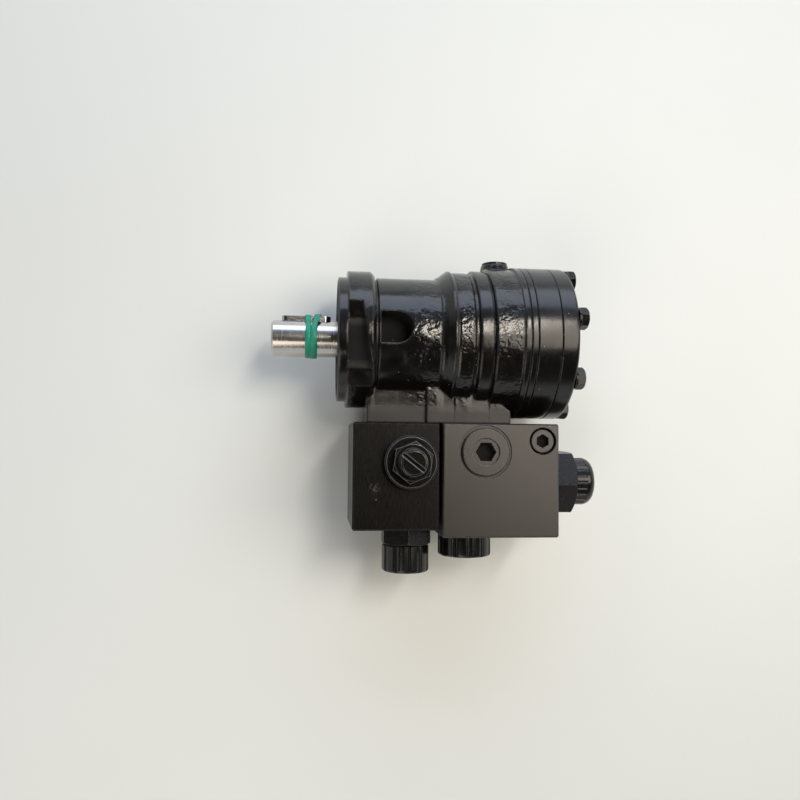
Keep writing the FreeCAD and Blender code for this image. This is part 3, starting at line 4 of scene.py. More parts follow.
import bpy
from mathutils import Euler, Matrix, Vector


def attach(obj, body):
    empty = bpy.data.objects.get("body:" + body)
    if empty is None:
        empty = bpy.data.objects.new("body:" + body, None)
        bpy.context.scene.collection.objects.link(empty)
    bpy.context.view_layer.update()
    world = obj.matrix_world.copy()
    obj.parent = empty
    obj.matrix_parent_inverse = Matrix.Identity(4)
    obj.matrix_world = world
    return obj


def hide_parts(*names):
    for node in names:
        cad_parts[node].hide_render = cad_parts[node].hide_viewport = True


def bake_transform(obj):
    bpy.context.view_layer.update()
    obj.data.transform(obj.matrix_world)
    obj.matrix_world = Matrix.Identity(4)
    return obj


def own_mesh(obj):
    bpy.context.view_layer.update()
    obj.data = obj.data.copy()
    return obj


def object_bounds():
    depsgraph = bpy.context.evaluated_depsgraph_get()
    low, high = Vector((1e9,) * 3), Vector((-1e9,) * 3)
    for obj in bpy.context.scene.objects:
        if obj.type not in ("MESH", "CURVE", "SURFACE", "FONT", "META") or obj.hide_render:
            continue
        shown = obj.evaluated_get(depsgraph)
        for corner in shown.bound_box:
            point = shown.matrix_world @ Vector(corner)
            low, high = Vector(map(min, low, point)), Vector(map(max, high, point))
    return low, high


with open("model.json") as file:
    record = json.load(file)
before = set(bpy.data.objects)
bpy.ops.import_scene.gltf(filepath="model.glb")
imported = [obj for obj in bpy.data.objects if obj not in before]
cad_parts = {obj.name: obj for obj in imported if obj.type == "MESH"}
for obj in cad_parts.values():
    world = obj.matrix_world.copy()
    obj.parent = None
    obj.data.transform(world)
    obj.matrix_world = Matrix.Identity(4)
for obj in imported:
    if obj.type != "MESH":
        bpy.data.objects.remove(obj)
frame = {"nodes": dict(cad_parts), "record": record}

# An orbital hydraulic motor with two valve blocks, seen from straight above.
# Lengths are metres; the shaft points to -X, the valve blocks lie towards -Y and +Z is up.

CAD_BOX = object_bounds()
NODES = frame["nodes"]

CAMERA_PLACE = (-0.01319, -0.07073, 0.5231)
CAMERA_TURN = (3.1094, -6.3495, 0.5653)
CAMERA_LENS = 33.75

TABLE_COLOUR = (0.80, 0.845, 0.835, 1.0)
PALE_WALL = (0.66, 0.67, 0.665, 1.0)
PAINT_BLACK = (0.0028, 0.0028, 0.0034, 1.0)
OXIDE_BLACK = (0.0042, 0.0036, 0.0033, 1.0)
OXIDE_BROWN = (0.0125, 0.0098, 0.0078, 1.0)
PLASTIC_BLACK = (0.005, 0.005, 0.005, 1.0)
BARE_STEEL = (0.62, 0.60, 0.575, 1.0)
# Pale grey painted along the valve hardware's edges as a painted highlight.
PAINTED_EDGE_HIGHLIGHT = (0.27, 0.28, 0.30, 1.0)
WORN_STEEL = (0.20, 0.20, 0.205, 1.0)
BAND_GREEN = (0.004, 0.235, 0.15, 1.0)
DUST = (0.33, 0.30, 0.25, 1.0)

# Distance from the shaft axis at the mouth and at the floor of the flange scoops; between them the
# paint is darkened as painted shade.
SCOOP_RIM = 0.0425
SCOOP_DEEP = 0.0398
# The housing's turned and cast stretches: place along its length, depth of the lumps.
HOUSING_LENGTH = 0.125
CAST_ZONES = ((0.0, 0.03), (0.050, 0.03), (0.055, 0.30), (0.18, 0.30), (0.20, 0.02), (0.33, 0.04),
              (0.44, 0.62), (0.53, 0.62), (0.57, 0.08), (0.625, 0.12), (0.635, 0.7), (0.70, 0.7),
              (0.72, 0.08), (0.815, 0.10), (0.825, 0.62), (0.96, 0.62), (0.975, 0.04), (1.0, 0.04))
# Shares of grit and pits in the cast skin, beside the lumps.
GRIT_SHARE = 0.22
PIT_SHARE = 0.14
# How fast an edge's mask rises with its rounding.
EDGE_GAIN = 9.0
# Size of a dust speck within its cell, and the share of cells without one.
SPECK_SIZE = 0.075
SPECK_FREE = 0.86

TABLE_REACH = 4.0
TABLE_GAP = 0.0002
# The table turns into the wall's colour between these distances.
TABLE_FADE = (0.7, 2.2)
MIDDLE = (0.05, -0.05, 0.0)


# Node helpers.
def put(tree, kind, settings=None, sockets=None):
    """A node with its settings and the values of its sockets."""
    node = tree.nodes.new(kind)
    for key, value in (settings or {}).items():
        setattr(node, key, value)
    for key, value in (sockets or {}).items():
        node.inputs[key].default_value = value
    return node


def wire(tree, source, target):
    tree.links.new(source, target)


def new_group(name, inputs, outputs):
    """A shader group with named float, colour or vector sockets."""
    group = bpy.data.node_groups.new(name, "ShaderNodeTree")
    for label, kind, default in inputs:
        socket = group.interface.new_socket(label, in_out="INPUT", socket_type="NodeSocket" + kind)
        socket.default_value = default
    for label, kind in outputs:
        group.interface.new_socket(label, in_out="OUTPUT", socket_type="NodeSocket" + kind)
    return group, group.nodes.new("NodeGroupInput"), group.nodes.new("NodeGroupOutput")


def math_node(tree, operation, first, second=None, clamp=False):
    node = put(tree, "ShaderNodeMath", {"operation": operation, "use_clamp": clamp})
    for index, value in enumerate((first, second)):
        if value is None:
            continue
        if isinstance(value, (int, float)):
            node.inputs[index].default_value = value
        else:
            wire(tree, value, node.inputs[index])
    return node.outputs[0]


# Shared effects.
def cast_skin_group():
    """Sand casting under paint: lumps, grit and shallow pits."""
    group, given, result = new_group(
        "cast skin", [("Grit Scale", "Float", 900.0), ("Lump Scale", "Float", 190.0)],
        [("Height", "Float"), ("Blotches", "Float")])
    where = put(group, "ShaderNodeTexCoord").outputs["Object"]
    lumps = put(group, "ShaderNodeTexNoise", None, {"Detail": 3.0, "Roughness": 0.55})
    grit = put(group, "ShaderNodeTexNoise", None, {"Detail": 2.0, "Roughness": 0.5})
    pits = put(group, "ShaderNodeTexVoronoi", {"feature": "SMOOTH_F1"}, {"Smoothness": 0.4})
    for node, scale in ((lumps, "Lump Scale"), (grit, "Grit Scale"), (pits, "Grit Scale")):
        wire(group, where, node.inputs["Vector"])
        wire(group, given.outputs[scale], node.inputs["Scale"])
    mixed = math_node(group, "ADD", lumps.outputs[0],
                      math_node(group, "MULTIPLY", grit.outputs[0], GRIT_SHARE))
    mixed = math_node(group, "ADD", mixed,
                      math_node(group, "MULTIPLY", pits.outputs[0], PIT_SHARE))
    wire(group, mixed, result.inputs["Height"])
    wire(group, lumps.outputs[0], result.inputs["Blotches"])
    return group


def edge_wear_and_highlight_group():
    """Rounded edges, and a mask along them where paint or oxide has rubbed off, which on the valve
    hardware carries a painted highlight.
    """
    group, given, result = new_group(
        "edge wear",
        [("Radius", "Float", 0.0005), ("Amount", "Float", 0.3), ("Whole", "Float", 0.0)],
        [("Mask", "Float"), ("Normal", "Vector")])
    rounded = put(group, "ShaderNodeBevel", {"samples": 6})
    wire(group, given.outputs["Radius"], rounded.inputs["Radius"])
    plain = put(group, "ShaderNodeNewGeometry")
    dot = put(group, "ShaderNodeVectorMath", {"operation": "DOT_PRODUCT"})
    wire(group, rounded.outputs[0], dot.inputs[0])
    wire(group, plain.outputs["Normal"], dot.inputs[1])
    turned = math_node(group, "SUBTRACT", 1.0, dot.outputs["Value"])
    where = put(group, "ShaderNodeTexCoord").outputs["Object"]
    chips = put(group, "ShaderNodeTexNoise", None, {"Scale": 420.0, "Detail": 3.0})
    wire(group, where, chips.inputs["Vector"])
    broken = put(group, "ShaderNodeMapRange", None, {"From Min": 0.38, "From Max": 0.62})
    wire(group, chips.outputs[0], broken.inputs["Value"])
    strength = math_node(group, "MULTIPLY", turned, EDGE_GAIN, clamp=True)
    patchy = math_node(group, "MAXIMUM", broken.outputs[0], given.outputs["Whole"])
    strength = math_node(group, "MULTIPLY", strength, patchy)
    wire(group, math_node(group, "MULTIPLY", strength, given.outputs["Amount"], clamp=True),
         result.inputs["Mask"])
    wire(group, rounded.outputs[0], result.inputs["Normal"])
    return group


def dust_group():
    """A few pale specks and a thin uneven film."""
    group, given, result = new_group(
        "dust", [("Speck Scale", "Float", 260.0), ("Film", "Float", 0.3)],
        [("Specks", "Float"), ("Film", "Float")])
    where = put(group, "ShaderNodeTexCoord").outputs["Object"]
    cells = put(group, "ShaderNodeTexVoronoi", None, {"Randomness": 1.0})
    wire(group, where, cells.inputs["Vector"])
    wire(group, given.outputs["Speck Scale"], cells.inputs["Scale"])
    small = math_node(group, "LESS_THAN", cells.outputs["Distance"], SPECK_SIZE)
    tint = put(group, "ShaderNodeSeparateColor")
    wire(group, cells.outputs["Color"], tint.inputs[0])
    chosen = math_node(group, "GREATER_THAN", tint.outputs[0], SPECK_FREE)
    wire(group, math_node(group, "MULTIPLY", small, chosen), result.inputs["Specks"])
    cloud = put(group, "ShaderNodeTexNoise", None,
                {"Scale": 34.0, "Detail": 5.0, "Roughness": 0.62})
    wire(group, where, cloud.inputs["Vector"])
    spread = put(group, "ShaderNodeMapRange", None, {"From Min": 0.35, "From Max": 0.75})
    wire(group, cloud.outputs[0], spread.inputs["Value"])
    wire(group, math_node(group, "MULTIPLY", spread.outputs[0], given.outputs["Film"]),
         result.inputs["Film"])
    return group


def tool_marks_group():
    """Fine parallel marks left by a lathe or a mill, across one direction."""
    group, given, result = new_group(
        "tool marks", [("Stretch", "Vector", (1.0, 1.0, 1.0)), ("Scale", "Float", 2500.0)],
        [("Height", "Float")])
    where = put(group, "ShaderNodeTexCoord").outputs["Object"]
    stretched = put(group, "ShaderNodeVectorMath", {"operation": "MULTIPLY"})
    wire(group, where, stretched.inputs[0])
    wire(group, given.outputs["Stretch"], stretched.inputs[1])
    marks = put(group, "ShaderNodeTexNoise", None, {"Detail": 2.0, "Roughness": 0.6})
    wire(group, stretched.outputs[0], marks.inputs["Vector"])
    wire(group, given.outputs["Scale"], marks.inputs["Scale"])
    wire(group, marks.outputs[0], result.inputs["Height"])
    return group


CAST_SKIN = cast_skin_group()
EDGE_WEAR_AND_HIGHLIGHT = edge_wear_and_highlight_group()
DUST_FILM = dust_group()
TOOL_MARKS = tool_marks_group()


def shared(tree, group, sockets=None):
    node = tree.nodes.new("ShaderNodeGroup")
    node.node_tree = group
    for key, value in (sockets or {}).items():
        node.inputs[key].default_value = value
    return node


def mix_colour(tree, mask, first, second):
    node = put(tree, "ShaderNodeMix", {"data_type": "RGBA"})
    for index, value in ((6, first), (7, second)):
        if isinstance(value, tuple):
            node.inputs[index].default_value = value
        else:
            wire(tree, value, node.inputs[index])
    wire(tree, mask, node.inputs[0])
    return node.outputs[2]


def new_material(name, metallic=0.0, ior=1.5, shine=0.5):
    material = bpy.data.materials.new(name)
    material.use_nodes = True
    tree = material.node_tree
    shader = tree.nodes["Principled BSDF"]
    shader.inputs["Metallic"].default_value = metallic
    shader.inputs["IOR"].default_value = ior
    shader.inputs["Specular IOR Level"].default_value = shine
    return material, tree, shader


def ranged(tree, value, low, high, start=0.3, end=0.7):
    node = put(tree, "ShaderNodeMapRange", None,
               {"From Min": start, "From Max": end, "To Min": low, "To Max": high})
    wire(tree, value, node.inputs["Value"])
    return node.outputs[0]


def finish(tree, shader, colour, roughness, height, strength, reach, wear=None, dust=None,
           edge_colour_wear_and_highlight=WORN_STEEL):
    """Joins colour, edge wear and painted edge highlight, dust, roughness and bump into the
    shader.
    """
    if wear is not None:
        colour = mix_colour(tree, wear.outputs["Mask"], colour, edge_colour_wear_and_highlight)
    if dust is not None:
        colour = mix_colour(tree, dust.outputs["Specks"], colour, DUST)
        roughness = math_node(tree, "ADD", roughness, dust.outputs["Film"], clamp=True)
    wire(tree, colour, shader.inputs["Base Color"])
    wire(tree, roughness, shader.inputs["Roughness"])
    bump = put(tree, "ShaderNodeBump", None, {"Strength": strength, "Distance": reach})
    wire(tree, height, bump.inputs["Height"])
    if wear is not None:
        wire(tree, wear.outputs["Normal"], bump.inputs["Normal"])
    wire(tree, bump.outputs[0], shader.inputs["Normal"])


# Materials.
def cast_paint(name):
    """Semi-gloss black paint: smooth where turned, lumpy where cast."""
    material, tree, shader = new_material(name, ior=1.52)
    skin = shared(tree, CAST_SKIN, {"Grit Scale": 400.0, "Lump Scale": 135.0})
    wear = shared(tree, EDGE_WEAR_AND_HIGHLIGHT, {"Radius": 0.0018, "Amount": 0.08})
    dust = shared(tree, DUST_FILM, {"Speck Scale": 300.0, "Film": 0.10})
    where = put(tree, "ShaderNodeTexCoord").outputs["Object"]
    split = put(tree, "ShaderNodeSeparateXYZ")
    wire(tree, where, split.inputs[0])
    along = put(tree, "ShaderNodeMapRange", None, {"From Min": 0.0, "From Max": HOUSING_LENGTH})
    wire(tree, split.outputs["X"], along.inputs["Value"])
    zones = tree.nodes.new("ShaderNodeValToRGB")
    ramp = zones.color_ramp
    while len(ramp.elements) > 1:
        ramp.elements.remove(ramp.elements[-1])
    ramp.elements[0].position = CAST_ZONES[0][0]
    ramp.elements[0].color = (CAST_ZONES[0][1],) * 3 + (1.0,)
    for position, level in CAST_ZONES[1:]:
        element = ramp.elements.new(position)
        element.color = (level, level, level, 1.0)
    wire(tree, along.outputs[0], zones.inputs[0])
    rough_height = math_node(tree, "MULTIPLY", skin.outputs["Height"], zones.outputs[0])
    colour = mix_colour(tree, ranged(tree, skin.outputs["Blotches"], 0.0, 1.0),
                        PAINT_BLACK, (0.0065, 0.0052, 0.0044, 1.0))
    roughness = ranged(tree, skin.outputs["Blotches"], 0.10, 0.17)
    # Painted shade in the flange scoops: the paint turns near black and duller below the scoops'
    # mouth, fully so at their floor.
    across = put(tree, "ShaderNodeVectorMath", {"operation": "LENGTH"})
    flat = put(tree, "ShaderNodeVectorMath", {"operation": "MULTIPLY"}, {1: (0.0, 1.0, 1.0)})
    wire(tree, where, flat.inputs[0])
    wire(tree, flat.outputs[0], across.inputs[0])
    outside_painted_scoop_shade = ranged(tree, across.outputs["Value"], 0.0, 1.0, SCOOP_DEEP, SCOOP_RIM)
    port_side = ranged(tree, split.outputs["Y"], 0.12, 1.0, -0.052, -0.036)
    rough_height = math_node(tree, "MULTIPLY", rough_height, port_side)
    colour = mix_colour(tree, outside_painted_scoop_shade, (0.0012, 0.0011, 0.0011, 1.0), colour)
    roughness = math_node(tree, "MAXIMUM", roughness,
                          ranged(tree, outside_painted_scoop_shade, 0.85, 0.0, 0.0, 1.0))
    roughness = math_node(tree, "MAXIMUM", roughness,
                          ranged(tree, split.outputs["Y"], 0.42, 0.0, -0.052, -0.040))
    finish(tree, shader, colour, roughness, rough_height, 0.6, 0.0019, wear, dust)
    return material


def smooth_paint(name, roughness=(0.15, 0.22)):
    """The same paint on turned steel, with a slight orange peel."""
    material, tree, shader = new_material(name, ior=1.52)
    skin = shared(tree, CAST_SKIN, {"Grit Scale": 1500.0, "Lump Scale": 420.0})
    wear = shared(tree, EDGE_WEAR_AND_HIGHLIGHT, {"Radius": 0.0006, "Amount": 0.25})
    dust = shared(tree, DUST_FILM, {"Speck Scale": 240.0, "Film": 0.08})
    colour = mix_colour(tree, ranged(tree, skin.outputs["Blotches"], 0.0, 1.0),
                        PAINT_BLACK, (0.0045, 0.0040, 0.0038, 1.0))
    finish(tree, shader, colour, ranged(tree, skin.outputs["Blotches"], *roughness),
           skin.outputs["Height"], 0.05, 0.0006, wear, dust)
    return material


def scuff_mask(tree, place, reach):
    """A small rubbed and scratched patch round one place."""
    where = put(tree, "ShaderNodeTexCoord").outputs["Object"]
    away = put(tree, "ShaderNodeVectorMath", {"operation": "DISTANCE"})
    wire(tree, where, away.inputs[0])
    away.inputs[1].default_value = place
    near = put(tree, "ShaderNodeMapRange", None,
               {"From Min": reach, "From Max": reach * 0.3, "To Min": 0.0, "To Max": 1.0})
    wire(tree, away.outputs["Value"], near.inputs["Value"])
    scratches = put(tree, "ShaderNodeTexNoise", None,
                    {"Scale": 620.0, "Detail": 4.0, "Roughness": 0.7})
    wire(tree, where, scratches.inputs["Vector"])
    return math_node(tree, "MULTIPLY", near.outputs[0],
                     ranged(tree, scratches.outputs[0], 0.0, 1.0, 0.52, 0.62), clamp=True)


def block_oxide(name, colour, roughness, film, shine, scuff=None):
    """Oiled black oxide on milled steel, with fine marks along the block."""
    material, tree, shader = new_material(name, ior=1.55, shine=shine)
    marks = shared(tree, TOOL_MARKS, {"Stretch": (3.0, 0.25, 1.0), "Scale": 700.0})
    wear = shared(tree, EDGE_WEAR_AND_HIGHLIGHT, {"Radius": 0.0005, "Amount": 0.40, "Whole": 0.35})
    dust = shared(tree, DUST_FILM, {"Speck Scale": 190.0, "Film": film})
    lighter = tuple(min(1.0, value * 1.5) for value in colour[:3]) + (1.0,)
    tone = mix_colour(tree, ranged(tree, marks.outputs["Height"], 0.0, 1.0), colour, lighter)
    cloud = shared(tree, CAST_SKIN, {"Grit Scale": 300.0, "Lump Scale": 32.0})
    tone = mix_colour(tree, ranged(tree, cloud.outputs["Blotches"], 0.0, 0.5, 0.35, 0.7),
                      tone, lighter)
    if scuff:
        tone = mix_colour(tree, scuff_mask(tree, *scuff), tone, (0.10, 0.098, 0.095, 1.0))
    finish(tree, shader, tone, ranged(tree, marks.outputs["Height"], *roughness),
           marks.outputs["Height"], 0.06, 0.0003, wear, dust)
    return material


def fastener_oxide(name, roughness=(0.12, 0.22), amount=0.6, colour=OXIDE_BLACK, socket=None,
                   shine=0.5, whole=0.0, reach=0.0006, edge_tone_wear_and_highlight=WORN_STEEL):
    """Glossy black oxide on turned and forged hardware, rubbed along its edges (on the valve the
    edge colour is a painted highlight), with painted shade deep in a socket.
    """
    material, tree, shader = new_material(name, ior=1.55, shine=shine)
    marks = shared(tree, TOOL_MARKS, {"Stretch": (1.0, 1.0, 1.6), "Scale": 520.0})
    wear = shared(tree, EDGE_WEAR_AND_HIGHLIGHT, {"Radius": reach, "Amount": amount, "Whole": whole})
    dust = shared(tree, DUST_FILM, {"Speck Scale": 420.0, "Film": 0.05})
    lighter = tuple(value * 1.7 for value in colour[:3]) + (1.0,)
    tone = mix_colour(tree, ranged(tree, marks.outputs["Height"], 0.0, 1.0), colour, lighter)
    dullness = ranged(tree, marks.outputs["Height"], *roughness)
    # Deep in the socket the colour goes near black and duller: painted shade, with some oil.
    if socket:
        split = put(tree, "ShaderNodeSeparateXYZ")
        wire(tree, put(tree, "ShaderNodeTexCoord").outputs["Object"], split.inputs[0])
        socket_oil_and_shade = ranged(tree, split.outputs["Z"], 1.0, 0.0, socket - 0.0045, socket - 0.0012)
        tone = mix_colour(tree, socket_oil_and_shade, tone, (0.0012, 0.0012, 0.0012, 1.0))
        dullness = math_node(tree, "MAXIMUM", dullness, math_node(tree, "MULTIPLY", socket_oil_and_shade, 0.9))
    finish(tree, shader, tone, dullness,
           marks.outputs["Height"], 0.03, 0.0002, wear, dust, edge_tone_wear_and_highlight)
    return material


def valve_oxide(name, roughness):
    """The adjustable valve's black hardware, with a painted highlight along every edge."""
    return fastener_oxide(name, roughness, 0.9, shine=0.2, whole=0.85, reach=0.0010,
                          edge_tone_wear_and_highlight=PAINTED_EDGE_HIGHLIGHT)


def bare_steel(name, stretch, colour=BARE_STEEL, roughness=(0.14, 0.28), strength=0.05):
    """Ground or turned steel with fine marks round the piece."""
    material, tree, shader = new_material(name, metallic=1.0)
    marks = shared(tree, TOOL_MARKS, {"Stretch": stretch, "Scale": 1800.0})
    wear = shared(tree, EDGE_WEAR_AND_HIGHLIGHT, {"Radius": 0.0004, "Amount": 0.0})
    dull = tuple(value * 0.78 for value in colour[:3]) + (1.0,)
    tone = mix_colour(tree, ranged(tree, marks.outputs["Height"], 0.0, 1.0), dull, colour)
    finish(tree, shader, tone, ranged(tree, marks.outputs["Height"], *roughness),
           marks.outputs["Height"], strength, 0.0002, wear)
    return material


def moulded(name, colour, roughness, grain=1200.0, strength=0.04):
    """Moulded plastic or rubber with a fine skin."""
    material, tree, shader = new_material(name)
    skin = shared(tree, CAST_SKIN, {"Grit Scale": grain, "Lump Scale": grain * 0.3})
    wear = shared(tree, EDGE_WEAR_AND_HIGHLIGHT, {"Radius": 0.0004, "Amount": 0.0})
    dust = shared(tree, DUST_FILM, {"Speck Scale": 520.0, "Film": 0.06})
    lighter = tuple(min(1.0, value * 1.35) for value in colour[:3]) + (1.0,)
    tone = mix_colour(tree, ranged(tree, skin.outputs["Blotches"], 0.0, 1.0), colour, lighter)
    finish(tree, shader, tone, ranged(tree, skin.outputs["Blotches"], *roughness),
           skin.outputs["Height"], strength, 0.0003, wear, dust)
    return material


def corners_of(name):
    """Lowest and highest corner of one node, in the part's own frame."""
    node = NODES[name]
    spots = [node.matrix_world @ Vector(corner) for corner in node.bound_box]
    return (Vector([min(spot[axis] for spot in spots) for axis in range(3)]),
            Vector([max(spot[axis] for spot in spots) for axis in range(3)]))


# A rubbed patch on the left block's upper face, by its share of the face's two sides.
BLOCK_LOW, BLOCK_HIGH = corners_of("left_block")
SCUFF_ACROSS = 0.25
SCUFF_DOWN = 0.61
SCUFF_REACH = 0.0045
SCUFF_PLACE = (BLOCK_LOW.x + SCUFF_ACROSS * (BLOCK_HIGH.x - BLOCK_LOW.x),
               BLOCK_HIGH.y - SCUFF_DOWN * (BLOCK_HIGH.y - BLOCK_LOW.y), BLOCK_HIGH.z)

FINISHES = {
    "cast_housing": cast_paint("cast black paint"),
    "dark_plate": smooth_paint("plate paint"),
    "dark_ring": smooth_paint("stator ring paint"),
    "dark_cover": smooth_paint("end cover paint"),
    "left_block_black": block_oxide("left block oxide", OXIDE_BLACK, (0.22, 0.30), 0.05, 0.13,
                                    (SCUFF_PLACE, SCUFF_REACH)),
    "right_block_black": block_oxide("right block oxide", OXIDE_BROWN, (0.27, 0.36), 0.06, 0.50),
    "black_screws": fastener_oxide("screw oxide", shine=0.3),
    "black_valve": valve_oxide("valve body oxide", (0.12, 0.2)),
    "adjuster_steel": valve_oxide("adjuster oxide", (0.10, 0.18)),
    "nut_steel": valve_oxide("lock nut oxide", (0.10, 0.18)),
    "plug_black": fastener_oxide("plug oxide", (0.24, 0.34), 0.3, OXIDE_BROWN,
                                 corners_of("check_plug")[1].z),
    "screw_black": fastener_oxide("socket screw oxide", (0.24, 0.34), 0.3, OXIDE_BROWN,
                                  corners_of("socket_screw")[1].z),
    "side_hex_black": fastener_oxide("cartridge oxide", (0.22, 0.32), 0.3, shine=0.3, whole=0.3),
    "fitting_black": fastener_oxide("fitting oxide", (0.20, 0.30), 0.35, whole=0.3),
    "cap_plastic": moulded("glossy cap plastic", PLASTIC_BLACK, (0.10, 0.16)),
    "knob_plastic": moulded("knob plastic", PLASTIC_BLACK, (0.10, 0.18)),
    "elastic_band": moulded("green elastic", BAND_GREEN, (0.36, 0.48), 900.0, 0.12),
    "seal_rubber": moulded("seal rubber", (0.012, 0.012, 0.012, 1.0), (0.5, 0.6), 1600.0, 0.1),
    "ground_steel": bare_steel("ground shaft steel", (1.6, 0.05, 0.05)),
    "key_steel": bare_steel("drawn key steel", (0.1, 1.5, 1.5), (0.50, 0.49, 0.48, 1.0)),
    "bearing_steel": bare_steel("bearing steel", (1.0, 0.2, 0.2), (0.55, 0.55, 0.56, 1.0)),
    "zinc_plated": bare_steel("zinc plating", (1.0, 1.0, 1.0), (0.58, 0.57, 0.54, 1.0),
                              (0.28, 0.4)),
    "copper_washer": bare_steel("soft copper", (1.0, 1.0, 1.0), (0.65, 0.30, 0.16, 1.0),
                                (0.3, 0.42)),
    "spring_steel": bare_steel("drawn spring wire", (1.0, 1.0, 1.0), (0.42, 0.42, 0.42, 1.0)),
}

# The plug of the drain boss is painted over with the motor.
OWN_FINISH = {"drain_plug": "dark_cover", "drain_plug_washer": "dark_cover"}
slot_of = {row["node"]: row["material_slot"] for row in frame["record"]["subparts"]}
for name, node in NODES.items():
    material = FINISHES[OWN_FINISH.get(name, slot_of[name])]
    if node.data.materials:
        for index in range(len(node.data.materials)):
            node.material_slots[index].material = material
    else:
        node.data.materials.append(material)


# The elastic band that holds the key on the shaft.
SHAFT_RADIUS = 0.0125
KEY_TOP = 0.0155
KEY_HALF = 0.004
BAND_STEPS = 144
BAND_THICKNESS = 0.0009
BAND_SLACK = 0.00015
# A strand's outline: share of its half width, share of its thickness.
BAND_SECTION = ((-1.0, 0.06), (-1.0, 0.55), (-0.72, 0.86), (0.0, 0.98), (0.72, 0.86), (1.0, 0.55),
                (1.0, 0.06), (0.0, 0.0))
# Each strand's place along the shaft, half width, lean over the key, lift and bulge.
BAND_STRANDS = ((-0.0019, 0.0022, -0.0004, 0.0, 0.0), (0.0017, 0.0024, 0.0030, 0.0003, 0.0007))


def band_reach(angle, slack):
    """Distance from the shaft axis to a strap pulled tight round shaft and key."""
    radius, top = SHAFT_RADIUS + slack, KEY_TOP + slack
    turn = abs((angle + math.pi) % (2 * math.pi) - math.pi)
    corner = math.atan2(KEY_HALF, top)
    touch = corner + math.acos(radius / math.hypot(KEY_HALF, top))
    if turn < corner:
        return top / math.cos(turn)
    if turn < touch:
        return radius / math.cos(touch - turn)
    return radius


def near_angle(angle, middle, width):
    """A smooth bump of height one round one angle."""
    away = (angle - middle + math.pi) % (2 * math.pi) - math.pi
    return math.exp(-(away / width) ** 2)


def elastic_band():
    """One band wound twice: two flat strands side by side that part over the key."""
    low, high = corners_of("key_band")
    middle = (low.x + high.x) / 2
    points, faces = [], []
    for side, half, lean, lift, bulge in BAND_STRANDS:
        first = len(points)
        for step in range(BAND_STEPS):
            angle = 2 * math.pi * step / BAND_STEPS
            over_key = near_angle(angle, 0.10, 0.62)
            waist = 1.0 - 0.16 * near_angle(angle, 0.85, 0.4)
            reach = band_reach(angle, BAND_SLACK) + lift + bulge * near_angle(angle, 0.75, 0.45)
            for across, out in BAND_SECTION:
                x = middle + side + lean * over_key + across * half * waist
                tilt = 0.25 * across * half * lean / 0.003 * near_angle(angle, 0.6, 0.5)
                radius = reach + out * BAND_THICKNESS + max(0.0, tilt)
                points.append((x, radius * math.cos(angle), radius * math.sin(angle)))
        size = len(BAND_SECTION)
        for step in range(BAND_STEPS):
            here, there = first + step * size, first + (step + 1) % BAND_STEPS * size
            for index in range(size):
                after = (index + 1) % size
                faces.append((here + index, there + index, there + after, here + after))
    mesh = bpy.data.meshes.new("green_band")
    mesh.from_pydata(points, [], faces)
    mesh.validate()
    mesh.shade_smooth()
    mesh.materials.append(FINISHES["elastic_band"])
    band = bpy.data.objects.new("green_band", mesh)
    bpy.context.scene.collection.objects.link(band)
    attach(band, "shaft_group")
    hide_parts("key_band")


elastic_band()


# The two valve springs, which shorten when their valves move; here they are built at rest.
SPRING_STEPS = 30
SPRING_SIDES = 12
SPRING_REST_GAP = 0.00002
CLOSED_PITCH = 2.05
LOWER_SHARE = 0.42


def coil_rings(node, wire, pitch):
    """Sections along a coil that fills a node's box, with one closed turn at each end."""
    low, high = corners_of(node)
    radius = (high.x - low.x) / 2 - wire
    foot, top = low.z + wire + SPRING_REST_GAP, high.z - wire - SPRING_REST_GAP
    closed = CLOSED_PITCH * wire
    open_turns = max(1, round((top - foot - 2 * closed) / pitch))
    rises = [closed] + [(top - foot - 2 * closed) / open_turns] * open_turns + [closed]
    rings, level = [], foot
    for turn, rise in enumerate(rises):
        for step in range(SPRING_STEPS + (turn == len(rises) - 1)):
            share = step / SPRING_STEPS
            angle = 2 * math.pi * share
            ring = []
            for side in range(SPRING_SIDES):
                round_wire = 2 * math.pi * side / SPRING_SIDES
                reach = radius + wire * math.cos(round_wire)
                ring.append(((low.x + high.x) / 2 + reach * math.cos(angle),
                             (low.y + high.y) / 2 + reach * math.sin(angle),
                             level + rise * share + wire * math.sin(round_wire)))
            rings.append(ring)
        level += rise
    return rings


def coil_piece(name, node, rings):
    """One closed length of spring wire, which stands for the node's spring."""
    points = [point for ring in rings for point in ring]
    last = len(points) - SPRING_SIDES
    faces = [tuple(range(SPRING_SIDES)), tuple(reversed(range(last, len(points))))]
    for first in range(0, last, SPRING_SIDES):
        for side in range(SPRING_SIDES):
            here, after = first + side, first + (side + 1) % SPRING_SIDES
            faces.append((here, here + SPRING_SIDES, after + SPRING_SIDES, after))
    mesh = bpy.data.meshes.new(name)
    mesh.from_pydata(points, [], faces)
    mesh.validate()
    mesh.shade_smooth()
    mesh.materials.append(FINISHES["spring_steel"])
    piece = bpy.data.objects.new(name, mesh)
    bpy.context.scene.collection.objects.link(piece)
    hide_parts(node)
    return piece


def shorten(piece):
    """Hangs the coil on the housing's body and gives it a mesh of its own."""
    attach(piece, "housing_group")
    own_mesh(piece)


def check_spring_coil():
    coil = coil_piece("check_coil", "check_spring",
                      coil_rings("check_spring", wire=0.0008, pitch=0.0026))
    shorten(coil)


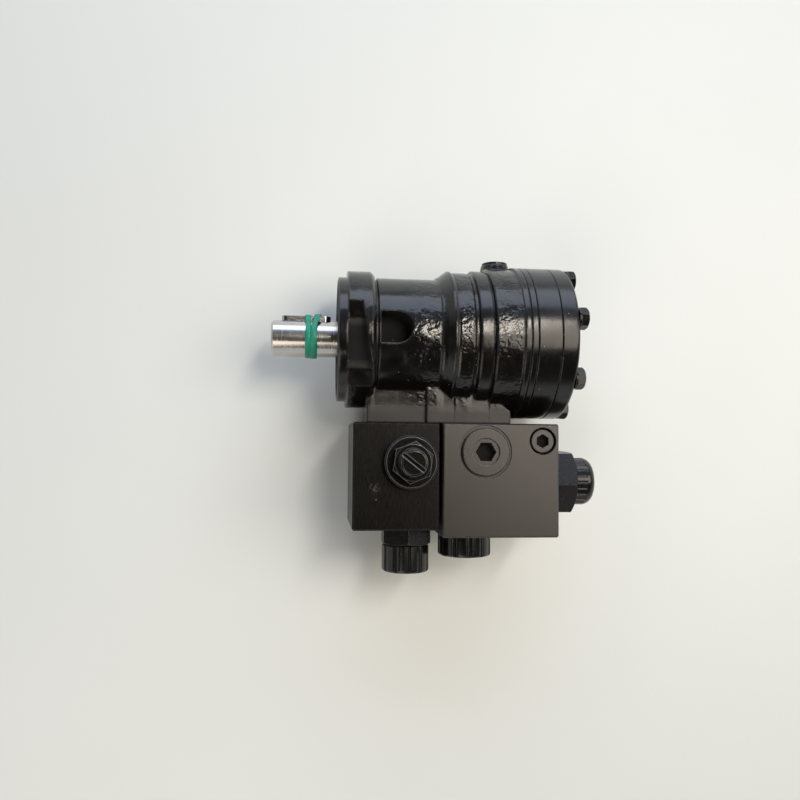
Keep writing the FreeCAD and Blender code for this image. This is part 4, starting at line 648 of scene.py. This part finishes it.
def relief_spring_coil():
    """Splits the coil into lower and upper turns; the lower hangs on the housing's body, the upper
    is baked where it stands.
    """
    rings = coil_rings("relief_spring", wire=0.0009, pitch=0.0030)
    parting = int(len(rings) * LOWER_SHARE)
    lower = coil_piece("relief_coil_lower", "relief_spring", rings[:parting + 1])
    upper = coil_piece("relief_coil_upper", "relief_spring", rings[parting:])
    shorten(lower)
    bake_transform(upper)


check_spring_coil()
relief_spring_coil()


# Table and light.
def seen_mask(tree):
    """One where the eye, a reflection or a clear piece looks at the backdrop."""
    path = put(tree, "ShaderNodeLightPath")
    seen = math_node(tree, "MAXIMUM", path.outputs["Is Camera Ray"], path.outputs["Is Glossy Ray"])
    return math_node(tree, "MAXIMUM", seen, path.outputs["Is Transmission Ray"])


def flat_table(height, reach):
    mesh = bpy.data.meshes.new("table_top")
    mesh.from_pydata([(-reach, -reach, height), (reach, -reach, height),
                      (reach, reach, height), (-reach, reach, height)], [], [(0, 1, 2, 3)])
    table = bpy.data.objects.new("table_top", mesh)
    bpy.context.scene.collection.objects.link(table)
    material, tree, shader = new_material("table paint")
    cloud = put(tree, "ShaderNodeTexNoise", None, {"Scale": 5.0, "Detail": 4.0})
    wire(tree, put(tree, "ShaderNodeTexCoord").outputs["Object"], cloud.inputs["Vector"])
    darker = tuple(value * 0.97 for value in TABLE_COLOUR[:3]) + (1.0,)
    wire(tree, mix_colour(tree, ranged(tree, cloud.outputs[0], 0.0, 1.0), TABLE_COLOUR, darker),
         shader.inputs["Base Color"])
    wire(tree, ranged(tree, cloud.outputs[0], 0.45, 0.55), shader.inputs["Roughness"])
    away = put(tree, "ShaderNodeVectorMath", {"operation": "LENGTH"})
    wire(tree, put(tree, "ShaderNodeTexCoord").outputs["Object"], away.inputs[0])
    far = put(tree, "ShaderNodeMapRange", {"interpolation_type": "SMOOTHSTEP"},
              {"From Min": TABLE_FADE[0], "From Max": TABLE_FADE[1]})
    wire(tree, away.outputs["Value"], far.inputs["Value"])
    wall = put(tree, "ShaderNodeEmission", None, {"Color": PALE_WALL, "Strength": 1.0})
    blend = put(tree, "ShaderNodeMixShader")
    wire(tree, math_node(tree, "MULTIPLY", far.outputs[0], seen_mask(tree)), blend.inputs[0])
    wire(tree, shader.outputs[0], blend.inputs[1])
    wire(tree, wall.outputs[0], blend.inputs[2])
    wire(tree, blend.outputs[0], tree.nodes["Material Output"].inputs["Surface"])
    mesh.materials.append(material)


def soft_lamp(name, place, aim, width, depth, watts, colour):
    lamp = bpy.data.lights.new(name, "AREA")
    lamp.shape = "RECTANGLE"
    lamp.size, lamp.size_y = width, depth
    lamp.energy = watts
    lamp.color = colour
    holder = bpy.data.objects.new(name, lamp)
    holder.location = place
    holder.rotation_euler = (Vector(aim) - Vector(place)).to_track_quat("-Z", "Y").to_euler()
    bpy.context.scene.collection.objects.link(holder)


flat_table(CAD_BOX[0][2] - TABLE_GAP, TABLE_REACH)
soft_lamp("window_light", place=(0.10, 1.90, 0.85), aim=MIDDLE,
          width=3.0, depth=1.2, watts=27.0, colour=(0.74, 0.83, 1.0))
soft_lamp("ceiling_light", place=(0.96, 0.14, 1.35), aim=MIDDLE,
          width=0.85, depth=1.3, watts=13.5, colour=(1.0, 0.89, 0.77))
soft_lamp("strip_light", place=(0.37, 0.40, 1.30), aim=MIDDLE,
          width=0.16, depth=0.62, watts=6.4, colour=(1.0, 0.92, 0.81))
soft_lamp("warm_wall", place=(-0.40, -0.80, 0.90), aim=(-0.03, 0.0, 0.0),
          width=0.70, depth=0.9, watts=4.5, colour=(1.0, 0.89, 0.76))


def room_colours():
    """Dark above, paler and cooler towards the window; the eye sees pale walls low down."""
    world = bpy.data.worlds.new("room")
    bpy.context.scene.world = world
    world.use_nodes = True
    tree = world.node_tree
    backdrop = tree.nodes["Background"]
    split = put(tree, "ShaderNodeSeparateXYZ")
    wire(tree, put(tree, "ShaderNodeTexCoord").outputs["Generated"], split.inputs[0])
    north = put(tree, "ShaderNodeMapRange", {"interpolation_type": "SMOOTHSTEP"},
                {"From Min": 0.25, "From Max": 0.9})
    wire(tree, split.outputs["Y"], north.inputs["Value"])
    low = put(tree, "ShaderNodeMapRange", {"interpolation_type": "SMOOTHSTEP"},
              {"From Min": 0.75, "From Max": 0.25})
    wire(tree, split.outputs["Z"], low.inputs["Value"])
    dim = mix_colour(tree, low.outputs[0], (0.040, 0.037, 0.034, 1.0), (0.10, 0.095, 0.09, 1.0))
    upper = mix_colour(tree, north.outputs[0], dim, (0.34, 0.42, 0.58, 1.0))
    rim = put(tree, "ShaderNodeMapRange", {"interpolation_type": "SMOOTHSTEP"},
              {"From Min": 0.44, "From Max": 0.26})
    wire(tree, split.outputs["Z"], rim.inputs["Value"])
    shown = math_node(tree, "MULTIPLY", rim.outputs[0], seen_mask(tree))
    wire(tree, mix_colour(tree, shown, upper, PALE_WALL), backdrop.inputs["Color"])
    backdrop.inputs["Strength"].default_value = 1.0


room_colours()

# The picture.
lens = bpy.data.cameras.new("camera")
lens.sensor_width = 36.0
lens.lens = CAMERA_LENS
lens.clip_start = 0.01
camera = bpy.data.objects.new("camera", lens)
camera.location = CAMERA_PLACE
camera.rotation_euler = Euler([math.radians(angle) for angle in CAMERA_TURN], "XYZ")
bpy.context.scene.collection.objects.link(camera)
bpy.context.scene.camera = camera
bpy.context.scene.view_settings.view_transform = "Standard"
